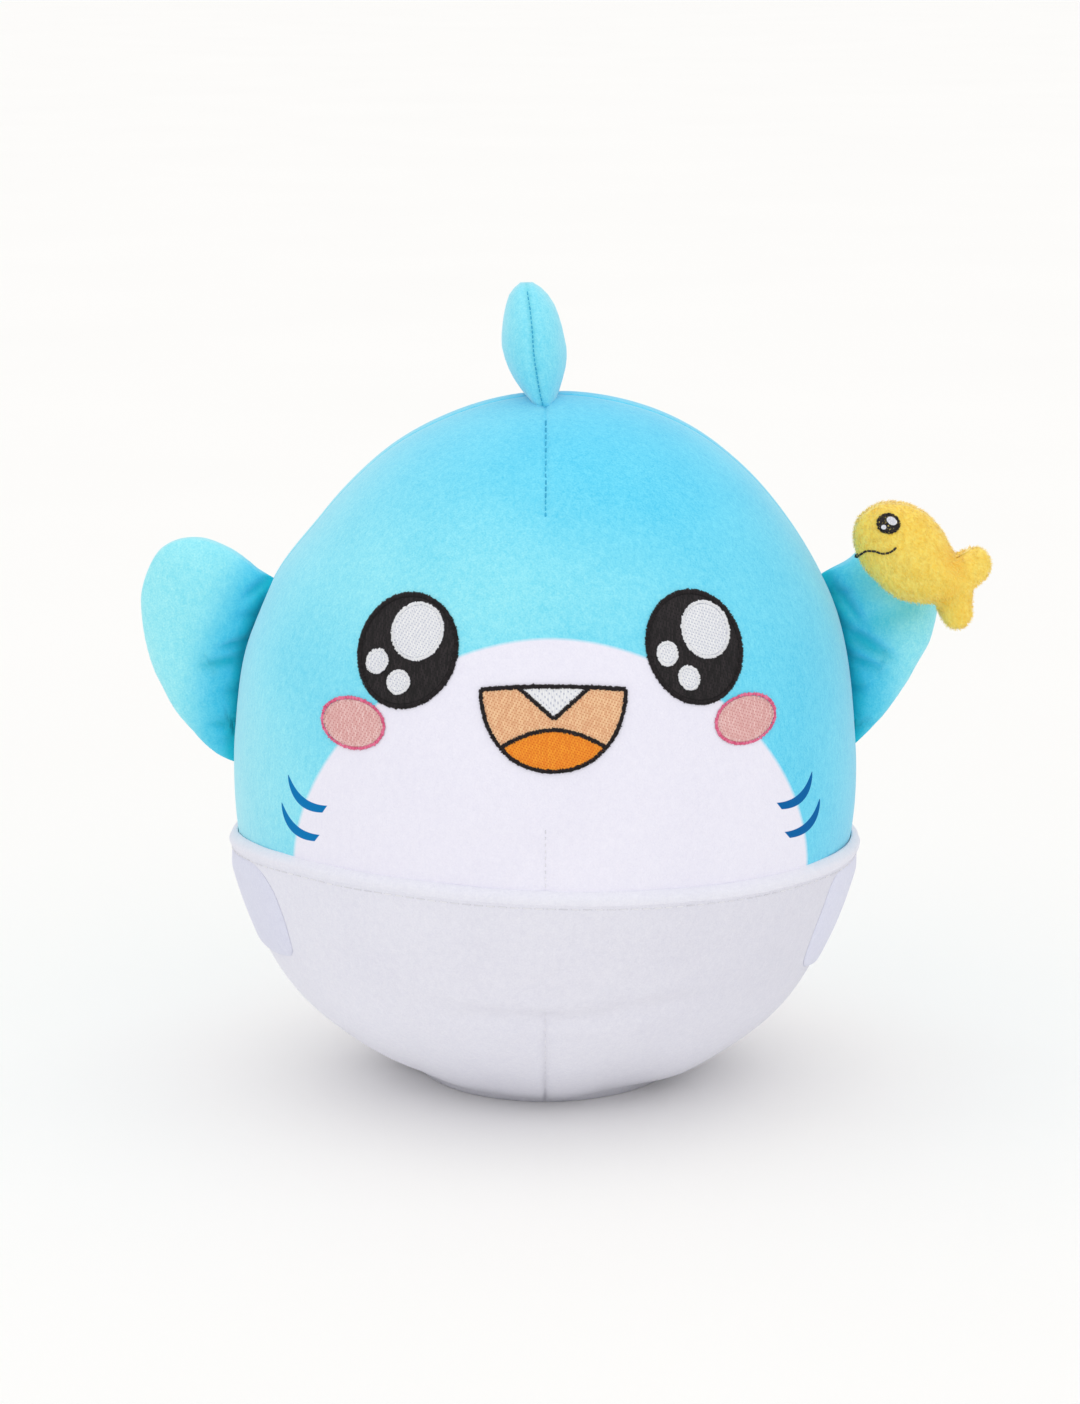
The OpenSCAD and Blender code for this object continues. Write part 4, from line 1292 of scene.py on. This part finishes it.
def sew(name, rows, surface):
    """Copies the one strip along every stitch."""
    rows = np.array(rows, float)
    piece = new_piece(name, bpy.ops.mesh.primitive_grid_add, x_subdivisions=4, y_subdivisions=2, size=1)
    strip = points_of(piece)
    copied(piece, len(rows))
    start = surface(rows[:, 0], rows[:, 1], rows[:, 4])
    end = surface(rows[:, 2], rows[:, 3], rows[:, 4])
    middle_x, middle_z = (rows[:, 0] + rows[:, 2]) / 2, (rows[:, 1] + rows[:, 3]) / 2
    here = surface(middle_x, middle_z, rows[:, 4])
    right = surface(middle_x + 0.1 * MM, middle_z, rows[:, 4]) - here
    upward = surface(middle_x, middle_z + 0.1 * MM, rows[:, 4]) - here
    normal = np.cross(right, upward)
    normal /= np.linalg.norm(normal, axis=1, keepdims=True)
    run = end - start
    sideways = np.cross(normal, run / np.maximum(np.linalg.norm(run, axis=1, keepdims=True), 1e-9))
    share = np.interp(strip[:, 0] + 0.5, [0, 0.25, 0.5, 0.75, 1], [0, 0.12, 0.5, 0.88, 1])
    rise = np.interp(share, [0, 0.12, 0.5, 0.88, 1], [0, 0.8, 1, 0.8, 0])
    rise = rise * (1 - 1.1 * np.abs(2 * strip[:, 1]))
    narrow = np.interp(share, [0, 0.12, 0.88, 1], [0.6, 1, 1, 0.6])
    points = (start[:, None] + run[:, None] * share[None, :, None]
              + sideways[:, None] * (rows[:, 5, None] * strip[None, :, 1] * narrow[None])[..., None]
              + normal[:, None] * (rows[:, 6, None] * rise[None])[..., None])
    put_points(piece, points.reshape(-1, 3))
    # Painted shade: each stitch is darker at its ends and sides, where it dips into the cloth.
    stitch_shade = np.interp(share, [0, 0.12, 0.88, 1], [0.1, 1, 1, 0.1]) * (1 - 0.35 * np.abs(2 * strip[:, 1]))
    tones = (rows[:, 7, None] * stitch_shade[None]).ravel()
    piece.data.attributes.new("tone", "FLOAT", "POINT").data.foreach_set("value", tones)
    return piece


def on_ball(across, up, lift=0.0):
    """Points on the cloth of the ball's front, given from the front."""
    return on_ball_side(across, up, lift, -1)


def on_back(across, up, lift=0.0):
    """The same on the ball's back, given from the back."""
    return on_ball_side(-np.asarray(across, float), up, lift, 1)


def on_ball_side(across, up, lift, side):
    up = np.asarray(up, float)
    across = np.asarray(across, float) - ball_lean(up)
    deep = side * np.sqrt(np.clip(ball_radius(up) ** 2 - across**2, 0, None))
    lift = np.broadcast_to(np.asarray(lift, float), np.shape(across))
    return ball_skin(np.stack([across, deep, up], axis=-1), lift)


def motif(name, backing, rows, surface, finish, body, *nodes):
    """Stitches as one piece, with the backing pad that they lie on: its outline, middle and two heights."""
    piece = sew(name + "_stitches", rows, surface)
    if backing:
        stitches = piece
        piece = pad(name, *backing, surface, 96, 24)
        # The pad is the underlay under the stitches, drawn in the thread's darkest tone as painted shade
        # between them.
        mark(piece, "tone", np.full(len(piece.data.vertices), 0.1))
        pick(piece)
        stitches.select_set(True)
        bpy.ops.object.join()
    piece.name = name
    return finish_piece(piece, finish, body, *nodes)


def oval(x, z, half_x, half_z, tilt=0.0, egg=0.0, count=96):
    """An oval outline; egg makes its lower half narrower."""
    turn = np.linspace(0, 2 * math.pi, count, endpoint=False)
    across = half_x * np.cos(turn) * (1 + egg * np.sin(turn))
    up = half_z * np.sin(turn)
    lean = math.radians(tilt)
    return np.stack([x + across * math.cos(lean) + up * math.sin(lean),
                     z - across * math.sin(lean) + up * math.cos(lean)], axis=1) * MM


# %% Eyes: an oval, and three glints, each as its middle, its half sizes and its tilt
EYES = {
    "left": ((-48.1, 178.4, 16.7, 20.4, 34, 0.03),
             [(-44.3, 185.2, 8.6, 10.2, 38), (-58.4, 174.0, 3.6, 4.6, 36), (-50.9, 168.1, 3.8, 4.5, 43)]),
    "right": ((51.9, 179.7, 16.2, 20.2, -31, 0.01),
              [(55.5, 185.2, 8.0, 10.1, -32), (42.1, 178.7, 3.7, 4.3, -25), (49.7, 170.1, 3.6, 4.5, -35)]),
}
for word, ((x, z, half_x, half_z, tilt, egg), glints) in EYES.items():
    edge = oval(x, z, half_x - 0.8, half_z - 0.8, tilt, egg)
    inner = oval(x, z, half_x - 1.7, half_z - 1.7, tilt, egg)
    rows = fill_stitches([inner], 0.25 * MM, mid=0.55, spread=0.4)
    rows += satin_stitches(edge, 1.6 * MM, 0.25 * MM, arch=0.5 * MM)
    motif(f"eye_{word}_stitching", (edge, in_mm((x, z)), -0.3 * MM, 0.25 * MM), rows, on_ball, black_thread,
          "body", f"eye_{word}")
    for n, (gx, gz, gr, gu, lean) in enumerate(glints):
        ring = oval(gx, gz, gr - 0.55, gu - 0.55, lean)
        core = oval(gx, gz, gr - 1.1, gu - 1.1, lean)
        glint_rows = fill_stitches([core], 0.6 * MM, 2.0 * MM, arch=0.16 * MM, mid=0.9, spread=0.1)
        glint_rows += satin_stitches(ring, 1.15 * MM, 0.6 * MM, arch=0.36 * MM, tone=(0.85, 1.0))
        nodes = [f"eye_{word}_glints"] if n == 0 else []
        motif(f"eye_{word}_glint_{n + 1}", (ring, in_mm((gx, gz)), 0.2 * MM, 0.6 * MM), glint_rows, on_ball,
              white_thread, "body", *nodes)

# %% Cheeks
CHEEKS = {"left": (-67.4, 152.4, 11.8, 9.0, -5), "right": (70.2, 153.8, 11.3, 8.9, 1)}
for word, (x, z, half_x, half_z, tilt) in CHEEKS.items():
    edge = oval(x, z, half_x - 0.6, half_z - 0.6, tilt)
    core = oval(x, z, half_x - 1.1, half_z - 1.1, tilt)
    fill = fill_stitches([core], 0.3 * MM, 2.2 * MM, mid=0.7)
    motif(f"cheek_{word}_stitching", (core, in_mm((x, z)), -0.3 * MM, 0.3 * MM), fill, on_ball, pink_thread,
          "body", f"cheek_{word}")
    ring = satin_stitches(edge, 1.05 * MM, 0.3 * MM, arch=0.36 * MM)
    motif(f"cheek_{word}_edge", None, ring, on_ball, rose_thread, "body", f"cheek_{word}_ring")

# %% The mouth's lines
MOUTH_X, MOUTH_TOP, MOUTH_HALF, MOUTH_DEPTH = 2.7, 169.4, 25.0, 28.5


def mouth_top(x):
    return MOUTH_TOP - 1.5 * ((x - MOUTH_X) / MOUTH_HALF) ** 2


mouth_side = mouth_top(MOUTH_X + MOUTH_HALF)
mouth_bowl = []
for turn in np.linspace(0, math.pi, 60):
    half = MOUTH_HALF * math.copysign(abs(math.cos(turn)) ** 0.92, math.cos(turn))
    drop = (MOUTH_TOP - MOUTH_DEPTH - mouth_side) * math.sin(turn) ** 0.97
    mouth_bowl.append((MOUTH_X + half, mouth_side + drop))
mouth_lip = [(x, mouth_top(x)) for x in np.linspace(MOUTH_X - MOUTH_HALF, MOUTH_X + MOUTH_HALF, 40)]
tooth_left = (MOUTH_X - 12.1, mouth_top(MOUTH_X - 12.1))
tooth_right = (MOUTH_X + 12.4, mouth_top(MOUTH_X + 12.4))
tooth_tip = (MOUTH_X + 0.3, MOUTH_TOP - 10.8)
tongue_x = np.linspace(-17.6, 17.9, 30)
tongue_line = [(MOUTH_X + x, MOUTH_TOP - 14.5 - 6.0 * (abs(x) / 17.8) ** 1.9) for x in tongue_x]
tongue_bowl = [p for p in mouth_bowl if p[1] < tongue_line[0][1] - 0.3]
mouth_edge = in_mm(mouth_lip + mouth_bowl[1:-1])
tooth_edge = in_mm([tooth_left, (MOUTH_X, MOUTH_TOP), tooth_right, tooth_tip])
tongue_edge = in_mm(tongue_line + tongue_bowl)
print("mouth", 2 * MOUTH_HALF, "by", MOUTH_DEPTH, "millimetres")

# %% The mouth's stitching
motif("mouth_lining_stitching", (mouth_edge, in_mm((MOUTH_X, 157.0)), -0.3 * MM, 0.25 * MM),
      fill_stitches([mouth_edge, tooth_edge, tongue_edge], 0.27 * MM, 2.0 * MM), on_ball, peach_thread,
      "body", "mouth_lining")
motif("tongue_stitching", (tongue_edge, in_mm((MOUTH_X, 148.0)), 0.0, 0.33 * MM),
      fill_stitches([tongue_edge], 0.33 * MM, 1.8 * MM), on_ball, orange_thread, "body", "tongue")
motif("tooth_stitching", (tooth_edge, in_mm((MOUTH_X, 165.5)), 0.0, 0.33 * MM),
      fill_stitches([tooth_edge], 0.33 * MM, 5 * MM, mid=0.92, spread=0.08), on_ball, white_thread,
      "body", "tooth")
line_rows = []
for path in (mouth_lip, mouth_bowl, [tooth_left, tooth_tip], [tooth_tip, tooth_right], tongue_line):
    line_rows += satin_stitches(in_mm(path), 1.5 * MM, 0.42 * MM, False, pitch=0.4 * MM, arch=0.5 * MM)
motif("mouth_line_stitching", None, line_rows, on_ball, black_thread, "body", "mouth_outline")

# %% [markdown]
# ## Seam stitching
# The crown dart, the back seam and the top fin's seam show short blue stitches, and the dart under the mouth
# and the nappy's own seams show white ones. They are running stitches, laid in the grooves.

# %% Where the seams' stitches lie
fin_front_edge = rounded(in_mm(TOP_FIN_EDGE), 8)
fin_levels = np.linspace(254 * MM, 296 * MM, 90)
fin_fronts = [min(y for y, z in fin_front_edge if abs(z - level) < 1.2 * MM) for level in fin_levels]


def on_top_fin(across, up, lift=0.0):
    """The front edge of the top fin, given by how far off its seam and how high."""
    up = np.asarray(up, float)
    middle = np.interp(up, TOP_FIN_FRONT[:, 0], TOP_FIN_FRONT[:, 2])
    front = np.interp(up, fin_levels, fin_fronts)
    return np.stack([np.asarray(across, float) + middle, front - lift, up], axis=-1)


def on_nappy(turn, up, lift=0.0):
    """Points on the nappy, given as a length round the ball and a height."""
    return nappy_surface(np.asarray(turn) / BALL_R, np.asarray(up, float), lift)


hem_turns = np.radians(np.linspace(-180, 180, 361))
hem_path = [(BALL_R * turn, float(rim_height(np.array([turn]))[0]) - 5.6 * MM) for turn in hem_turns]
crown_path = [(0.1 * MM, CROWN_DART_LOW - 0.5 * MM), (0.2 * MM, 253 * MM)]
chin_path = [(0.0, 99 * MM), (0.0, CHIN_DART_HIGH)]
back_path = in_mm([(0.0, 98), (0.0, 250)])
fin_path = in_mm([(0.0, 255), (0.0, 295)])
nappy_dart_path = in_mm([(0.0, 8), (0.0, 51)])
print("hem stitching", round(2 * math.pi * BALL_R, 3), "metres round")

# %% Stitches in the seams
# Each line: its path, surface, finish, body and nodes, and in millimetres a stitch's length, gap, lift, width
# and arch
SEAM_LINES = {
    "crown_dart_stitches": (crown_path, on_ball, blue_thread, "body", ["crown_dart_stitching"],
                            (1.4, 0.6, 0.1, 0.8, 0.5)),
    "chin_dart_stitches": (chin_path, on_ball, seam_thread, "body", ["chin_dart_stitching"],
                           (1.2, 1.2, 0.0, 0.5, 0.3)),
    "back_seam_stitches": (back_path, on_back, blue_thread, "body", ["back_seam_stitching"],
                           (1.5, 1.2, 0.1, 0.7, 0.35)),
    "top_fin_seam_stitches": (fin_path, on_top_fin, blue_thread, top_bend, [],
                              (1.1, 0.5, 0.1, 0.5, 0.3)),
    "nappy_hem_stitches": (hem_path, on_nappy, seam_thread, "nappy", ["nappy_hem_stitching"],
                           (3.1, 1.1, 0.05, 0.5, 0.28)),
    "nappy_dart_stitches": (nappy_dart_path, on_nappy, seam_thread, "nappy", ["nappy_dart_stitching"],
                            (1.4, 1.4, 0.0, 0.45, 0.3)),
}
for name, (path, surface, finish, body, nodes, sizes) in SEAM_LINES.items():
    motif(name, None, running_stitches(path, *in_mm(sizes)), surface, finish, body, *nodes)

# %% The fish's face
fish_eye = (-4.7, 9.9)
fish_eye_rows = fill_stitches([oval(*fish_eye, 3.6, 2.8)], 0.55 * MM, 1.8 * MM)
fish_eye_rows += satin_stitches(oval(*fish_eye, 3.8, 3.0), 1.1 * MM, 0.5 * MM)
motif("fish_eye_stitching", (oval(*fish_eye, 3.9, 3.1), in_mm(fish_eye), -0.4 * MM, 0.55 * MM), fish_eye_rows,
      on_fish, black_thread, "fish", "fish_eye")
# Each glint: its middle, its half sizes and its tilt
FISH_GLINTS = [(-3.5, 10.9, 1.8, 1.3, 30), (-6.4, 8.7, 0.8, 0.8, 0)]
for n, (x, z, half_x, half_z, tilt) in enumerate(FISH_GLINTS):
    core = oval(x, z, half_x + 0.1, half_z + 0.1, tilt)
    nodes = ["fish_eye_glints"] if n == 0 else []
    motif(f"fish_eye_glint_{n + 1}", (oval(x, z, half_x, half_z, tilt), in_mm((x, z)), 0.4 * MM, 1.0 * MM),
          fill_stitches([core], 0.95 * MM, 3 * MM, pitch=0.4 * MM), on_fish, seam_thread, "fish", *nodes)
smile_line = [(-14.6, -2.5), (-12.6, -0.6), (-9.6, -0.3), (-7.2, -0.9), (-4.8, -0.6), (-2.9, 0.5),
              (-1.9, 1.6)]
smile = rounded(smile_line + smile_line[-2:0:-1], 6)[:37]
smile_rows = running_stitches(smile * MM, 1.5 * MM, 0.12 * MM, 0.5 * MM, 0.8 * MM, 0.45 * MM)
smile_rows += satin_stitches(in_mm([(-14.9, -2.2), (-15.6, -4.2)]), 1.1 * MM, 0.45 * MM, False, 0.35 * MM)
motif("fish_smile_stitching", None, smile_rows, on_fish, black_thread, "fish", "fish_smile")

# %% [markdown]
# ## Hidden parts, the floor and the sizes
# The loose fibre fills the cover, and the thread that holds the fish is the CAD's own solid with a finish.
# The floor is a large plain white sheet, marked as stage so that it isn't part of the toy.

# %% Hidden CAD parts
tack = bpy.data.objects["fish_tack_thread"]
tack.data.materials.clear()
tack.data.materials.append(seam_thread[0])

# %% The loose fibre: a ball primitive shaped like the cover, a little inside it
fibre = new_piece("loose_fibre", bpy.ops.mesh.primitive_uv_sphere_add, segments=96, ring_count=64, radius=1)
ball = points_of(fibre)
fibre_around = np.arctan2(ball[:, 0], -ball[:, 1])
fibre_turn = np.arcsin(np.clip(ball[:, 2], -1, 1))
fibre_radius, fibre_height = ball_profile(fibre_turn, -2.4 * MM)
fibre_points = ball_skin(round_the_ball(fibre_around, fibre_radius, fibre_height))
fibre_points[:, 2] = np.maximum(fibre_points[:, 2], SEAT_Z + 1.6 * MM)
put_points(fibre, fibre_points)
in_edit_mode(fibre, face_outwards)
finish_piece(fibre, stuffing, "body", "body_filling")

# %% Floor
floor = new_piece("floor", bpy.ops.mesh.primitive_plane_add, size=400)
floor_material, floor_tree, floor_shader = new_material("floor_white")
floor_place = floor_tree.nodes.new("ShaderNodeTexCoord").outputs["Object"]
floor_mottle = speckle(floor_tree, floor_place, 3)
floor_colour = blended(floor_tree, floor_mottle, srgb(250, 249, 247), srgb(253, 252, 250))
link(floor_tree, floor_colour, floor_shader.inputs["Base Color"])
floor_shader.inputs["Roughness"].default_value = 0.9
floor.data.materials.append(floor_material)
floor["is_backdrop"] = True

# %% Sizes
visual_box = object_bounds()
plain = lambda box: [[float(c) for c in corner] for corner in box]
{"cad": plain(cad_box), "visual": plain(visual_box)}
print("cad box", plain(cad_box), "visual box", plain(visual_box))
